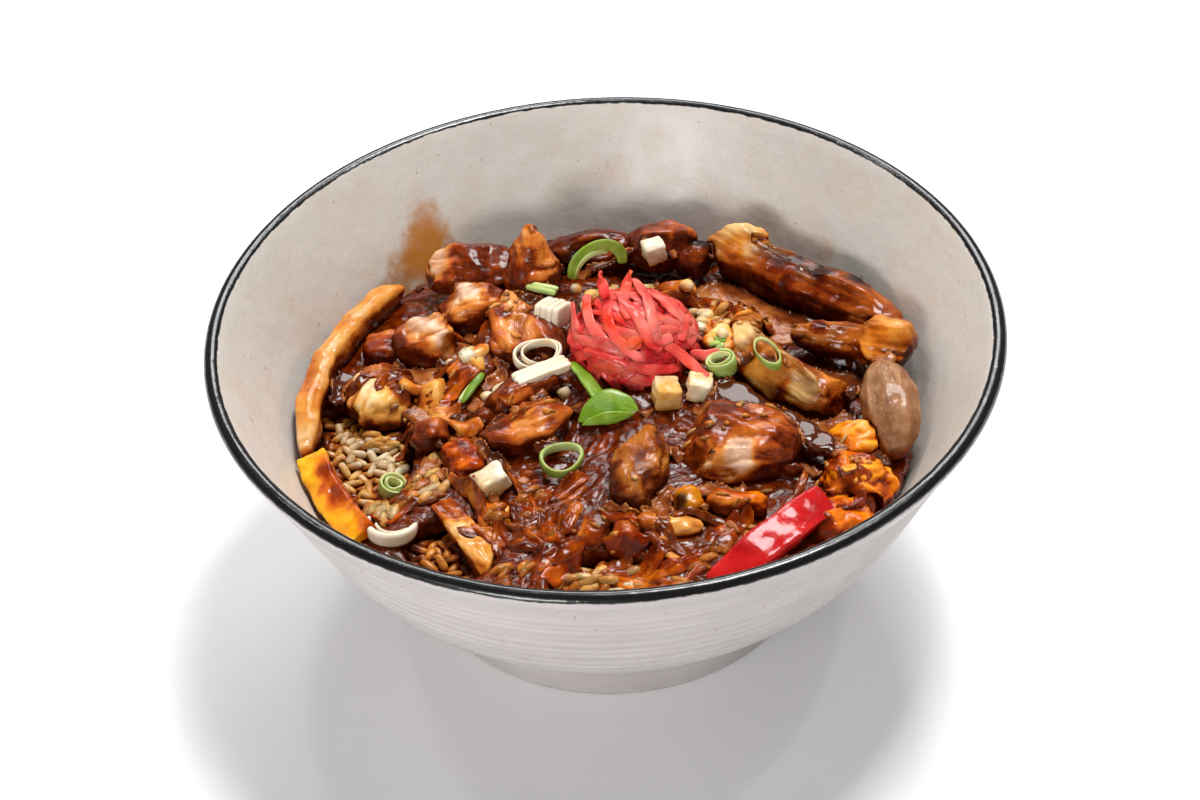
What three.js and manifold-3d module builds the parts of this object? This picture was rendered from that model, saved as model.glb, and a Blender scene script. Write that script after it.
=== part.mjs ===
// A bowl of oyakodon: a ribbed stoneware bowl filled with rice, a soft bed of egg and sauce over it, and on
// that chicken, mushrooms, onion, peppers, leek, spring onion, corn and a heap of red pickled ginger.
// Millimetres, +Z up, +Y to the back. The origin is the middle of the foot's lower face.

import * as THREE from "three";
import { mergeVertices } from "three/addons/utils/BufferGeometryUtils.js";
import Module from "manifold-3d";

const wasm = await Module();
wasm.setup();

// The bowl.
const RIM_RADIUS = 102.7;
const BOWL_HEIGHT = 83.4;
const WALL = 4.2;
const FOOT_RADIUS = 53.3;
const FOOT_HEIGHT = 9.5;
const FOOT_WALL = 5.6;
const FOOT_CHAMFER = 0.7;
const BASE_UNDERSIDE = 6.2;
const FLOOR_LEVEL = 12.2;
const SHOULDER_OUT = [89, 43.3];
const SHOULDER_IN = [77.9, 34.2];
const RIB_COUNT = 7;
const RIB_DEPTH = 0.5;
const RIB_FIRST = 0.2;
const RIB_LAST = 0.9;
const BOWL_SIDES = 48;
const LIP_STEPS = 4;
const WALL_STEPS = 5;

// The fillings.
const GAP = 0.34;
const WALL_GAP = 0.48;
const SWELL_PASSES = 8;
const SLIVER_AREA = 1e-3;
const SLIVER_VOLUME = 1e-3;
const RICE_SIDES = 24;
const BED_CELLS = 14;
const RICE_LEVEL = 44.6;
const RICE_CROWN = 2.2;
const BED_LEVEL = 49.3;
const BED_CROWN = 5.2;
const CROWN_REACH = 80;
const BED_RELIEF = 0.75;
const BED_GRAIN = 15;
const GRAIN = [6.3, 2.4, 2.1];
const GOLDEN_ANGLE = Math.PI * (3 - Math.sqrt(5));
const MOUNDS = [
  { at: [8, 16], rise: 6.2, spread: 16 },
  { at: [-1, 47], rise: 5, spread: 9 },
  { at: [47, 12], rise: 1.5, spread: 14 },
];
const WELL_MARGIN = 3.4;
const WELL_DEPTH = 24;
const WELL_FLARE = 1.06;
const WELL_SIDES = 14;
const RICE_POCKETS = [
  { at: [-68, -12], radii: [13, 18], grains: 22 },
  { at: [-42, -49], radii: [9, 8], grains: 7 },
  { at: [-3, -62], radii: [10, 6], grains: 7 },
];

// The ginger heap.
const GINGER_AT = [7.6, 18, 65.2];
const GINGER_CORE = [35, 33, 22.5];
const GINGER_STRIPS = 10;
const GINGER_SECTION = [3.3, 2.4];

const COLOURS = {
  glaze: { color: 0xcfc6bb, roughness: 0.35 },
  rice: { color: 0xcbb79a, roughness: 0.5 },
  egg: { color: 0xc98a2e, roughness: 0.3 },
  sauce: { color: 0x8f4a18, roughness: 0.25 },
  chicken: { color: 0xb98863, roughness: 0.4 },
  mushroom: { color: 0x9a6842, roughness: 0.35 },
  onion: { color: 0xd2a870, roughness: 0.3 },
  leek: { color: 0xe9e2cf, roughness: 0.35 },
  green: { color: 0x7fa02c, roughness: 0.35 },
  redPepper: { color: 0xc01f22, roughness: 0.25 },
  yellowPepper: { color: 0xdda526, roughness: 0.25 },
  corn: { color: 0xc98b1c, roughness: 0.3 },
  ginger: { color: 0xd03a3c, roughness: 0.35 },
};

// Numbers and waves.

// A repeatable number from 0 to 1 for the given item and purpose.
function wobble(item, purpose) {
  const raw = Math.sin(item * 12.9898 + purpose * 78.233) * 43758.5453;
  return raw - Math.floor(raw);
}

// A smooth uneven value of about -1 to 1 at each point, from a few waves in directions set by the seed.
function unevenness(seed, wavelength) {
  const waves = [0, 1, 2, 3, 4].map((index) => {
    const direction = new THREE.Vector3(
      wobble(seed, index * 5 + 1) - 0.5,
      wobble(seed, index * 5 + 2) - 0.5,
      wobble(seed, index * 5 + 3) - 0.5,
    ).normalize();
    const pitch = ((2 * Math.PI) / wavelength) * (0.7 + 0.7 * wobble(seed, index * 5 + 4));
    return { direction: direction.multiplyScalar(pitch), phase: 6.3 * wobble(seed, index * 5 + 5) };
  });
  const height = (wave, point) => 0.4 * Math.sin(wave.direction.dot(point) + wave.phase);
  return (point) => waves.reduce((sum, wave) => sum + height(wave, point), 0);
}

function degrees(angle) {
  return THREE.MathUtils.degToRad(angle);
}

// Geometry and solids.

// The geometry with every corner moved by the given function.
function warped(geometry, move) {
  const place = geometry.attributes.position;
  const point = new THREE.Vector3();
  for (let index = 0; index < place.count; index += 1) {
    move(point.fromBufferAttribute(place, index));
    place.setXYZ(index, point.x, point.y, point.z);
  }
  return geometry;
}

// The geometry with only its positions, and corners that touch made one.
function welded(geometry) {
  const bare = geometry.clone();
  bare.deleteAttribute("normal");
  bare.deleteAttribute("uv");
  return mergeVertices(bare, 1e-3);
}

function solidOf(geometry) {
  const closed = welded(geometry);
  return new wasm.Manifold(
    new wasm.Mesh({
      numProp: 3,
      vertProperties: new Float32Array(closed.attributes.position.array),
      triVerts: new Uint32Array(closed.index.array),
    }),
  );
}

function geometryOf(solid) {
  const mesh = solid.getMesh();
  const geometry = new THREE.BufferGeometry();
  geometry.setAttribute("position", new THREE.BufferAttribute(new Float32Array(mesh.vertProperties), 3));
  geometry.setIndex(new THREE.BufferAttribute(new Uint32Array(mesh.triVerts), 1));
  return geometry;
}

// The largest of the bodies that a cut leaves.
function largestBody(solid) {
  return solid.decompose().reduce((best, body) => (body.volume() > best.volume() ? body : best));
}

// The shortest step, nearly, that takes a corner the distance out of each of the faces that meet there.
function outwardStep(normals, distance) {
  const step = new THREE.Vector3();
  for (let pass = 0; pass < SWELL_PASSES; pass += 1) {
    normals.forEach((normal) => {
      const lacking = distance - normal.dot(step);
      if (lacking > 0) step.addScaledVector(normal, lacking);
    });
  }
  return step.clampLength(0, 3 * distance);
}

// The geometry with each face moved out by the given distance.
function swollen(geometry, distance) {
  const closed = welded(geometry);
  const place = closed.attributes.position;
  const meeting = Array.from({ length: place.count }, () => []);
  const triangle = new THREE.Triangle();
  for (let face = 0; face < closed.index.count; face += 3) {
    const ids = [0, 1, 2].map((side) => closed.index.getX(face + side));
    triangle.setFromAttributeAndIndices(place, ...ids);
    if (triangle.getArea() < SLIVER_AREA) continue;
    const normal = triangle.getNormal(new THREE.Vector3());
    ids.forEach((id) => meeting[id].push(normal));
  }
  const corner = new THREE.Vector3();
  meeting.forEach((normals, id) => {
    corner.fromBufferAttribute(place, id).add(outwardStep(normals, distance));
    place.setXYZ(id, corner.x, corner.y, corner.z);
  });
  return closed;
}

// What keeps later pieces clear of a form.
function cutterOf(geometry) {
  const [cutter, form] = [solidOf(swollen(geometry, GAP)), solidOf(geometry)];
  return form.subtract(cutter).volume() > SLIVER_VOLUME ? cutter.add(form) : cutter;
}

// Curves a form whose length lies along X: its ends curl towards the positive side of the other axis.
function curl(point, across, angle, length) {
  if (angle === 0) return;
  const radius = length / degrees(angle);
  const turn = point.x / radius;
  const reach = radius - point[across];
  point.x = reach * Math.sin(turn);
  point[across] = radius - reach * Math.cos(turn);
}

// Gives a unit form its size, squareness, unevenness, taper towards +X, twist, bend and arch.
function formed(base, size, options = {}) {
  const { squareness = 1, rough = 0, seed = 1, taper = 0, twist = 0, bend = 0, arch = 0 } = options;
  const wave = unevenness(seed, 0.7 * Math.min(size[0], 2 * size[1]));
  const half = new THREE.Vector3(...size).multiplyScalar(0.5);
  return warped(base, (point) => {
    ["x", "y", "z"].forEach((axis) => {
      point[axis] = Math.sign(point[axis]) * Math.abs(point[axis]) ** squareness * half[axis];
    });
    point.addScaledVector(point.clone().normalize(), rough * wave(point));
    const along = point.x / half.x;
    point.y *= 1 - taper * along;
    point.z *= 1 - taper * along;
    point.applyAxisAngle(new THREE.Vector3(1, 0, 0), degrees(twist) * along * 0.5);
    curl(point, "y", bend, size[0]);
    curl(point, "z", -arch, size[0]);
  });
}

// A rounded lump, with its corners spread evenly.
function chunk(size, options = {}) {
  const base = new THREE.IcosahedronGeometry(1, options.detail ?? 1);
  return formed(base, size, { squareness: 0.72, ...options });
}

// A rounded lobe with its length along X, which can bend.
function lobe(size, options = {}) {
  const base = new THREE.SphereGeometry(1, options.sides ?? 8, options.steps ?? 7);
  base.rotateZ(-Math.PI / 2);
  return formed(base, size, { squareness: 0.8, ...options });
}

// A flat-sided strip with its length along X.
function strip(size, options = {}) {
  const base = new THREE.BoxGeometry(2, 2, 2, options.steps ?? 5, 1, 1);
  return formed(base, size, options);
}

// A ring that lies flat, with its wall on edge.
function ring(radius, wall, height, oval = 1, sides = 11) {
  const profile = [
    [radius - wall, -height / 2],
    [radius, -height / 2],
    [radius, height / 2],
    [radius - wall, height / 2],
    [radius - wall, -height / 2],
  ].map(([across, up]) => new THREE.Vector2(across, up));
  return new THREE.LatheGeometry(profile, sides).rotateX(Math.PI / 2).scale(1, oval, 1);
}

// A flat slice with rounded edges, cut to an outline that runs through the given corners.
function slice(corners, thickness, roundness) {
  const outline = new THREE.Shape(
    new THREE.SplineCurve([...corners, corners[0]].map(([x, y]) => new THREE.Vector2(x, y)))
      .getPoints(corners.length * 3)
      .slice(0, -1),
  );
  const body = new THREE.ExtrudeGeometry(outline, {
    depth: thickness - 2 * roundness,
    bevelEnabled: true,
    bevelThickness: roundness,
    bevelSize: roundness,
    bevelSegments: 1,
    steps: 1,
  });
  return body.translate(0, 0, roundness - thickness / 2);
}

// A piece's matrix: its heading turns it about Z, its pitch lifts its +X end, its roll lifts its +Y side.
function placing(at, [heading = 0, pitch = 0, roll = 0] = []) {
  const turn = new THREE.Euler(degrees(roll), degrees(-pitch), degrees(heading), "ZYX");
  return new THREE.Matrix4().makeRotationFromEuler(turn).setPosition(...at);
}

function joined(...geometries) {
  return geometryOf(geometries.map(solidOf).reduce((sum, solid) => sum.add(solid)));
}

function carved(geometry, ...hollows) {
  return geometryOf(hollows.map(solidOf).reduce((rest, hollow) => rest.subtract(hollow), solidOf(geometry)));
}

function moved(geometry, at, turn) {
  return geometry.applyMatrix4(placing(at, turn));
}

// The bowl.

const lipCentre = new THREE.Vector2(RIM_RADIUS - WALL / 2, BOWL_HEIGHT - WALL / 2);
const shoulder = new THREE.Vector2(...SHOULDER_IN);
const rimDirection = lipCentre.clone().sub(shoulder).normalize();
const rimOutward = new THREE.Vector2(rimDirection.y, -rimDirection.x);
const outerCurve = new THREE.CubicBezierCurve(
  new THREE.Vector2(FOOT_RADIUS, FOOT_HEIGHT),
  new THREE.Vector2(...SHOULDER_OUT),
  shoulder,
  lipCentre.clone().addScaledVector(rimOutward, WALL / 2),
);

// A point of the body's side, from the foot at 0 to the rim at 1, moved inwards from the outer face.
function sidePoint(share, inset) {
  const tangent = outerCurve.getTangent(share);
  return outerCurve.getPoint(share).add(new THREE.Vector2(-tangent.y, tangent.x).multiplyScalar(inset));
}

// The outer face's ribs: crests on the face's own curve, with a groove between each two.
function ribbedSide() {
  const points = [sidePoint(0, 0), sidePoint(0.08, 0)];
  for (let rib = 0; rib < RIB_COUNT; rib += 1) {
    const spread = (rib + 0.3 * wobble(rib, 3)) / RIB_COUNT;
    const share = RIB_FIRST + (RIB_LAST - RIB_FIRST) * spread;
    const half = (0.42 * (RIB_LAST - RIB_FIRST)) / RIB_COUNT;
    points.push(sidePoint(share, RIB_DEPTH * (0.7 + 0.6 * wobble(rib, 4))), sidePoint(share + half, 0));
  }
  return points.concat(sidePoint(1, 0));
}

function lipPoints() {
  const points = [];
  for (let step = 1; step < LIP_STEPS; step += 1) {
    const turn = (Math.PI * step) / LIP_STEPS;
    points.push(
      lipCentre
        .clone()
        .addScaledVector(rimOutward, (WALL / 2) * Math.cos(turn))
        .addScaledVector(rimDirection, (WALL / 2) * Math.sin(turn)),
    );
  }
  return points;
}

// The wall's inner face from the rim down, moved further in by the given clearance.
function innerSide(clearance) {
  const points = [];
  for (let step = WALL_STEPS; step >= 0; step -= 1) {
    points.push(sidePoint(step / WALL_STEPS, WALL + clearance));
  }
  return points;
}

function bowlGeometry() {
  const foot = [
    [0, BASE_UNDERSIDE],
    [FOOT_RADIUS - FOOT_WALL - FOOT_CHAMFER, BASE_UNDERSIDE],
    [FOOT_RADIUS - FOOT_WALL, FOOT_CHAMFER],
    [FOOT_RADIUS - FOOT_WALL + FOOT_CHAMFER, 0],
    [FOOT_RADIUS - 2 * FOOT_CHAMFER, 0],
    [FOOT_RADIUS - FOOT_CHAMFER, FOOT_CHAMFER],
  ].map(([across, up]) => new THREE.Vector2(across, up));
  const well = [...innerSide(0), new THREE.Vector2(0, FLOOR_LEVEL)];
  const profile = [...foot, ...ribbedSide(), ...lipPoints(), ...well];
  return new THREE.LatheGeometry(profile, BOWL_SIDES).rotateX(Math.PI / 2);
}

// The inner face's radius at a height, less the clearance.
function innerRadius(height, clearance) {
  const points = innerSide(clearance);
  const above = points.findIndex((point, index) => index > 0 && point.y <= height);
  const [high, low] = [points[above - 1], points[above]];
  return low.x + ((high.x - low.x) * (height - low.y)) / (high.y - low.y);
}

// The space that the food may take, kept clear of the wall: its side is straight where the wall nearly is.
function interior() {
  const heights = [FLOOR_LEVEL + WALL, RICE_LEVEL - 8, BOWL_HEIGHT - 2 * WALL];
  const side = heights.map((height) => new THREE.Vector2(innerRadius(height, WALL_GAP), height));
  const ends = [heights[0], heights[2]].map((height) => new THREE.Vector2(0, height));
  return solidOf(new THREE.LatheGeometry([ends[0], ...side, ends[1]], BOWL_SIDES).rotateX(Math.PI / 2));
}

const space = interior();

// Rice and the bed over it.

function crowned(level, crown, x, y) {
  return level + crown * (1 - (x * x + y * y) / CROWN_REACH ** 2);
}

function riceHeight(x, y) {
  return crowned(RICE_LEVEL, RICE_CROWN, x, y);
}

const bedWave = unevenness(41, BED_GRAIN);

function bedHeight(x, y) {
  const mounds = MOUNDS.reduce((sum, { at, rise, spread }) => {
    const apart = (x - at[0]) ** 2 + (y - at[1]) ** 2;
    return sum + rise * Math.exp(-apart / (2 * spread * spread));
  }, 0);
  return crowned(BED_LEVEL, BED_CROWN, x, y) + mounds + BED_RELIEF * bedWave(new THREE.Vector3(x, y, 0));
}

// One grain of a pocket, lying on the rice.
function grainGeometry(pocket, index) {
  const spread = Math.sqrt((index + 0.5) / pocket.grains);
  const x = pocket.at[0] + pocket.radii[0] * spread * Math.cos(index * GOLDEN_ANGLE);
  const y = pocket.at[1] + pocket.radii[1] * spread * Math.sin(index * GOLDEN_ANGLE);
  const turn = [360 * wobble(index, 11), 50 * wobble(index, 12) - 25, 0];
  const lift = 0.2 + 0.9 * wobble(index, 13);
  return moved(chunk(GRAIN, { squareness: 1, detail: 0 }), [x, y, riceHeight(x, y) + lift], turn);
}

// The rice under its crowned top, without the grains that show.
function riceCore() {
  const side = innerSide(WALL_GAP).filter((point) => point.y < RICE_LEVEL - 4);
  const edge = innerRadius(RICE_LEVEL, WALL_GAP);
  const profile = [
    new THREE.Vector2(0, FLOOR_LEVEL + GAP),
    ...side.reverse(),
    ...[1, 0.6].map((share) => new THREE.Vector2(edge * share, RICE_LEVEL)),
    new THREE.Vector2(0, RICE_LEVEL),
  ];
  const core = new THREE.LatheGeometry(profile, RICE_SIDES).rotateX(Math.PI / 2);
  return warped(core, (point) => {
    if (point.z > RICE_LEVEL - 0.1) point.z = riceHeight(point.x, point.y);
  });
}

// The grains of every pocket that lie clear of the wall.
function riceGrains() {
  return RICE_POCKETS.flatMap((pocket) =>
    Array.from({ length: pocket.grains }, (_, index) => grainGeometry(pocket, index)),
  ).filter((grain) => {
    grain.computeBoundingSphere();
    const { center, radius } = grain.boundingSphere;
    return Math.hypot(center.x, center.y) + radius < innerRadius(RICE_LEVEL, WALL_GAP);
  });
}

function united(solids) {
  return solids.reduce((sum, solid) => sum.add(solid));
}

// The hole in the bed through which a pocket's rice shows.
function pocketWell({ at, radii }, narrower) {
  const well = new THREE.CylinderGeometry(WELL_FLARE, 1, WELL_DEPTH, WELL_SIDES).rotateX(Math.PI / 2);
  const margin = WELL_MARGIN - narrower;
  return solidOf(moved(well.scale(radii[0] + margin, radii[1] + margin, 1), [at[0], at[1], RICE_LEVEL + 4]));
}

// Small scraps on the bed that are too small for pieces of their own: size, place, turn.
const BED_SCRAPS = [
  [[4.6, 5, 4], [-38.3, 1.4, 55.4], [30, 10, 0]],
  [[7, 7, 5.5], [-32, -4, 56], [20, 0, 0]],
  [[9, 5.5, 5], [-46, 9, 53.6], [70, 0, 0]],
  [[7.5, 3.4, 2.4], [73, -29, 51.2], [35, 10, 0]],
  [[6, 5, 5], [33, 36, 56.4], [10, 0, 0]],
  [[12, 5, 4.5], [44, -26, 53.8], [-30, 0, 0]],
  [[13, 4, 3.6], [-15, -47, 52.6], [-50, 0, 0]],
  [[12, 3.6, 3.4], [-18, -54, 51], [15, 0, 0]],
];

function bedScraps() {
  return BED_SCRAPS.map(([size, at, turn], index) =>
    moved(chunk(size, { detail: 0, squareness: 0.9, seed: 60 + index }), at, turn),
  );
}

// A block with an uneven top. Every second row of its corners is moved along by half a cell.
function unevenBlock() {
  const cell = (2 * RIM_RADIUS) / BED_CELLS;
  const block = new THREE.BoxGeometry(2 * RIM_RADIUS, 2 * RIM_RADIUS, BED_LEVEL, BED_CELLS, BED_CELLS, 1);
  return warped(block, (point) => {
    point.x += 0.5 * cell * (Math.round(point.y / cell) % 2);
    point.z = point.z > 0 ? bedHeight(point.x, point.y) : 0;
  });
}

// The bed: the uneven block and its scraps, cut to the bowl's inside and the rice, with its wells.
function bedSolid(core) {
  const aboveRice = new THREE.BoxGeometry(2 * RIM_RADIUS, 2 * RIM_RADIUS, BED_LEVEL);
  aboveRice.translate(0, 0, RICE_LEVEL + 2 * GAP + BED_LEVEL / 2);
  const heaped = united([unevenBlock(), ...bedScraps()].map(solidOf));
  const filled = heaped.intersect(solidOf(aboveRice)).intersect(space);
  const wells = RICE_POCKETS.map((pocket) => pocketWell(pocket, 0));
  const aboveCore = filled.subtract(solidOf(core.clone().translate(0, 0, GAP)));
  return largestBody(wells.reduce((rest, well) => rest.subtract(well), aboveCore));
}

// What keeps toppings clear of the bed.
function bedCutter() {
  const raised = solidOf(unevenBlock().translate(0, 0, GAP));
  const scraps = bedScraps().map((scrap) => solidOf(swollen(scrap, GAP)));
  const wells = RICE_POCKETS.map((pocket) => pocketWell(pocket, GAP));
  return wells.reduce((rest, well) => rest.subtract(well), united([raised, ...scraps]));
}

// Laying pieces one on another.

const laid = [];

function material(look) {
  return new THREE.MeshStandardMaterial({ metalness: 0, ...look });
}

// Adds a mesh that is already in the bowl's frame, with the solid that keeps toppings clear of it.
function set(group, name, solid, look, cutter) {
  const mesh = new THREE.Mesh(geometryOf(solid), material(look));
  mesh.name = name;
  group.add(mesh);
  mesh.updateMatrixWorld(true);
  mesh.geometry.computeBoundingBox();
  laid.push({ mesh, cutter, box: mesh.geometry.boundingBox.clone().expandByScalar(GAP) });
}

const down = new THREE.Vector3(0, 0, -1);

// The height of what is already laid, at a point seen from above.
function heightBelow(x, y) {
  const caster = new THREE.Raycaster(new THREE.Vector3(x, y, 2 * BOWL_HEIGHT), down);
  const hits = caster.intersectObjects(laid.map((piece) => piece.mesh), false);
  return hits.length ? hits[0].point.z : 0;
}

// How far a piece has to move up or down for its lowest parts to rest in what is already laid.
function settling(geometry, sunk) {
  const place = welded(geometry).attributes.position;
  const gaps = [];
  const point = new THREE.Vector3();
  for (let index = 0; index < place.count; index += 1) {
    point.fromBufferAttribute(place, index);
    gaps.push(heightBelow(point.x, point.y) - point.z);
  }
  gaps.sort((a, b) => b - a);
  return gaps[Math.floor(sunk * (gaps.length - 1))];
}

// Lays a piece at its place, cut clear of all that was laid before it. Its mesh keeps its own position and
// rotation. A place with no height lets the piece settle on what is below, with the given share sunk in.
function lay(group, name, shape, look, at, turn = [], sunk = 0) {
  const settles = at.length === 2;
  const placed = placing(settles ? [...at, BOWL_HEIGHT] : at, turn);
  const form = shape.clone().applyMatrix4(placed);
  if (settles) {
    const lift = settling(form, sunk);
    form.translate(0, 0, lift);
    placed.premultiply(new THREE.Matrix4().makeTranslation(0, 0, lift));
  }
  form.computeBoundingBox();
  const near = laid.filter(({ box }) => box.intersectsBox(form.boundingBox));
  const rest = near.reduce((solid, { cutter }) => solid.subtract(cutter), solidOf(form).intersect(space));
  const mesh = new THREE.Mesh(geometryOf(largestBody(rest)), material(look));
  mesh.name = name;
  mesh.geometry.applyMatrix4(placed.clone().invert());
  mesh.applyMatrix4(placed);
  group.add(mesh);
  mesh.updateMatrixWorld(true);
  laid.push({ mesh, cutter: cutterOf(form), box: form.boundingBox.clone().expandByScalar(GAP) });
}

// The toppings, from the lowest up.

function layEgg(group) {
  const piece = (name, shape, at, turn) => lay(group, `egg_${name}`, shape, COLOURS.egg, at, turn);
  piece("right_front", chunk([23, 17, 10], { rough: 0.9, seed: 3 }), [57, -43, 50.6], [25]);
  piece("right", chunk([20, 15, 11], { rough: 0.9, seed: 4 }), [63, -33, 52.6], [-10]);
  piece("right_top", chunk([14, 12, 11], { rough: 0.7, seed: 5 }), [62.5, -19, 53.4], [20]);
  piece("front_left", lobe([15, 8, 6], { rough: 0.5, seed: 6, bend: 40 }), [-29.8, -39, 52], [-50]);
  piece("band", lobe([19, 7, 5], { bend: 45, rough: 0.3 }), [12.8, -47, 52.8], [-14, 0, 12]);
  piece("roll", lobe([16.5, 7, 7], { squareness: 0.65, rough: 0.3 }), [31, -40.5, 54], [-9]);
  piece("sauced", chunk([10, 13, 8], { rough: 0.5, seed: 8 }), [-37.6, -19, 54], [15]);
}

// The long onion slice that stands along the wall on the left.
function layOnionArc(group) {
  const [radius, span, middle, level] = [79, 55, degrees(162), 53.2];
  const form = lobe([degrees(span) * radius, 7.4, 9.6], { bend: span, squareness: 0.6, steps: 10 });
  const at = [radius * Math.cos(middle), radius * Math.sin(middle), level];
  lay(group, "onion_arc", form, COLOURS.onion, at, [252]);
}

function layOnion(group) {
  const piece = (name, shape, at, turn) => lay(group, `onion_${name}`, shape, COLOURS.onion, at, turn);
  layOnionArc(group);
  piece("left", chunk([21, 19, 9.5], { rough: 0.9, seed: 21 }), [-60.2, 11.5, 51.6], [60, 0, 8]);
  piece("upper_left", chunk([11, 13, 9], { seed: 22 }), [-59.5, 30, 51.5], [30]);
  piece("inner_left", chunk([13, 12, 7], { seed: 23 }), [-36, 16.6, 54.6], [15, 8, 0]);
  piece("behind_slice", lobe([17, 8, 8], { steps: 5 }), [-31, 28, 55.4], [70]);
  piece("strip_left", strip([29, 7, 3], { arch: 25, taper: -0.2 }), [-36.5, -45.5, 51.6], [-60, -8]);
  piece("oval_left", lobe([13, 7.4, 5], { steps: 5 }), [-4.7, -46, 52.8], [70]);
  piece("oval_right", lobe([13, 7.2, 5], { steps: 5 }), [3.6, -45.4, 53.2], [82]);
  piece("strip_front", strip([16, 4.4, 2.8], { arch: 20, steps: 4 }), [13.6, -55.4, 51.7], [-52, -8]);
  piece("right", chunk([11, 12, 7], { seed: 24, rough: 0.5 }), [30, 18, 59.4], [25]);
  piece("right_back", chunk([10, 10, 6], { seed: 25, rough: 0.4 }), [20.7, 42, 57.6], [10]);
}

function layChicken(group) {
  const piece = (name, shape, at, turn) => lay(group, `chicken_${name}`, shape, COLOURS.chicken, at, turn);
  piece("back_left", lobe([31, 16, 9], { arch: 60, rough: 0.6, seed: 31 }), [-35.5, 54, 60.4], [-6, 0, 30]);
  piece("mid_left", chunk([19, 15, 12], { rough: 0.6, seed: 32 }), [-35.6, 41, 56.6], [12]);
  const angular = chunk([20, 15, 12.5], { rough: 0.5, squareness: 0.6, seed: 33 });
  piece("low_left", angular, [-47, 28.8, 54.6], [28, 6, 12]);
  piece("tall", lobe([27, 15.5, 13], { taper: 0.34, rough: 0.5, seed: 34 }), [-18.6, 50, 62.6], [80, 70, 0]);
  const wedge = slice([[-8, -9], [9, -11], [7, 2], [-4, 13], [-7, 6]], 8, 1.4);
  piece("slice", wedge, [-22, 27, 58.4], [8, 0, 12]);
  piece("lower", lobe([27, 15, 11], { rough: 0.5, seed: 36 }), [-22.4, -11.4, 55.4], [28, 5, 0]);
  piece("upper", lobe([24, 10, 9], { rough: 0.4, seed: 37, squareness: 0.7 }), [-22, 2.2, 58], [36, 4, -8]);
  piece("front_left", chunk([27, 15, 13], { rough: 0.6, seed: 38 }), [7, -26.6, 55.6], [80, 4, 0]);
  const largest = lobe([38, 24, 14], { rough: 0.8, seed: 39, sides: 9, steps: 8 });
  piece("front_right", largest, [29.4, -18.8, 56], [-10, 0, 6]);
  piece("back_middle", chunk([19, 13, 13], { rough: 0.6, seed: 40 }), [17.6, 62, 59.4], [5]);
  piece("cube", chunk([9.5, 9.5, 8.5], { squareness: 0.6, seed: 42 }), [-46.4, -8.8, 54.4], [25]);
}

// A cap with a stem, cut lengthways: the cap's dome faces +X.
function mushroomHalf(capWidth, capDepth, stemLength, stemWidth, thickness) {
  const cap = chunk([capDepth, capWidth, thickness * 1.3], { squareness: 0.85 });
  const stem = lobe([stemLength + capDepth / 2, stemWidth, thickness * 0.8], { steps: 6 });
  return joined(cap.translate(stemLength / 2, 0, 0), stem);
}

// The long slice at the back: a cap's end with its gills in the open, and the rest of the cap running right.
function mushroomLong() {
  const body = lobe([62, 15.6, 14], { steps: 9, taper: 0.24, rough: 0.5, seed: 51, bend: 10 });
  const capEnd = moved(chunk([20, 12, 10], { squareness: 0.9 }), [-24.6, 3.6, 5.8], [8]);
  const gills = moved(lobe([34, 9, 9], { sides: 6, steps: 5 }), [-5, 3.8, 8]);
  return carved(joined(body, capEnd), gills);
}

function mushroomBack() {
  const underside = moved(chunk([15, 5, 6]), [0, -4.4, 3.4]);
  return carved(lobe([26, 12, 11], { rough: 0.4, seed: 55 }), underside);
}

function layMushrooms(group) {
  const piece = (name, shape, at, turn) => lay(group, `mushroom_${name}`, shape, COLOURS.mushroom, at, turn);
  piece("long", mushroomLong(), [55.4, 42.4, 57.6], [-38]);
  piece("side", mushroomHalf(18, 15, 23, 9.5, 12), [64, 16.6, 59.4], [-15, 4, 0]);
  const hooked = lobe([52, 11, 14], { bend: 125, steps: 9, rough: 0.3, seed: 53 });
  piece("curl", hooked, [41.8, 6.3, 58], [-55, 0, -10]);
  const cap = lobe([31, 15.5, 15], { squareness: 0.9, rough: 0.3, seed: 54, sides: 9 });
  piece("cap", cap, [73, -9.4, 56.2], [92, 16, 0]);
  piece("back", mushroomBack(), [-2.4, 63.4, 57.4], [2, 0, -8]);
  piece("chunk", chunk([8, 10, 9], { squareness: 0.65, seed: 56 }), [26, 56, 58], [-30]);
}

function layPeppersAndCorn(group) {
  const redStrip = strip([38, 9.5, 3.4], { arch: 34, bend: -10, twist: 8, steps: 8 });
  lay(group, "pepper_red", redStrip, COLOURS.redPepper, [39, -54.6, 55], [40, 9, 14]);
  const yellowStrip = strip([33, 8.6, 3.4], { arch: -16, bend: 24, steps: 7 });
  lay(group, "pepper_yellow", yellowStrip, COLOURS.yellowPepper, [-71.4, -29, 50.6], [-64, -4, 26]);
  const kernel = chunk([8.4, 7.6, 6.4], { squareness: 0.75, taper: 0.12 });
  lay(group, "corn", kernel, COLOURS.corn, [18.9, -39, 54.6], [100, 20, 0]);
}

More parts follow.
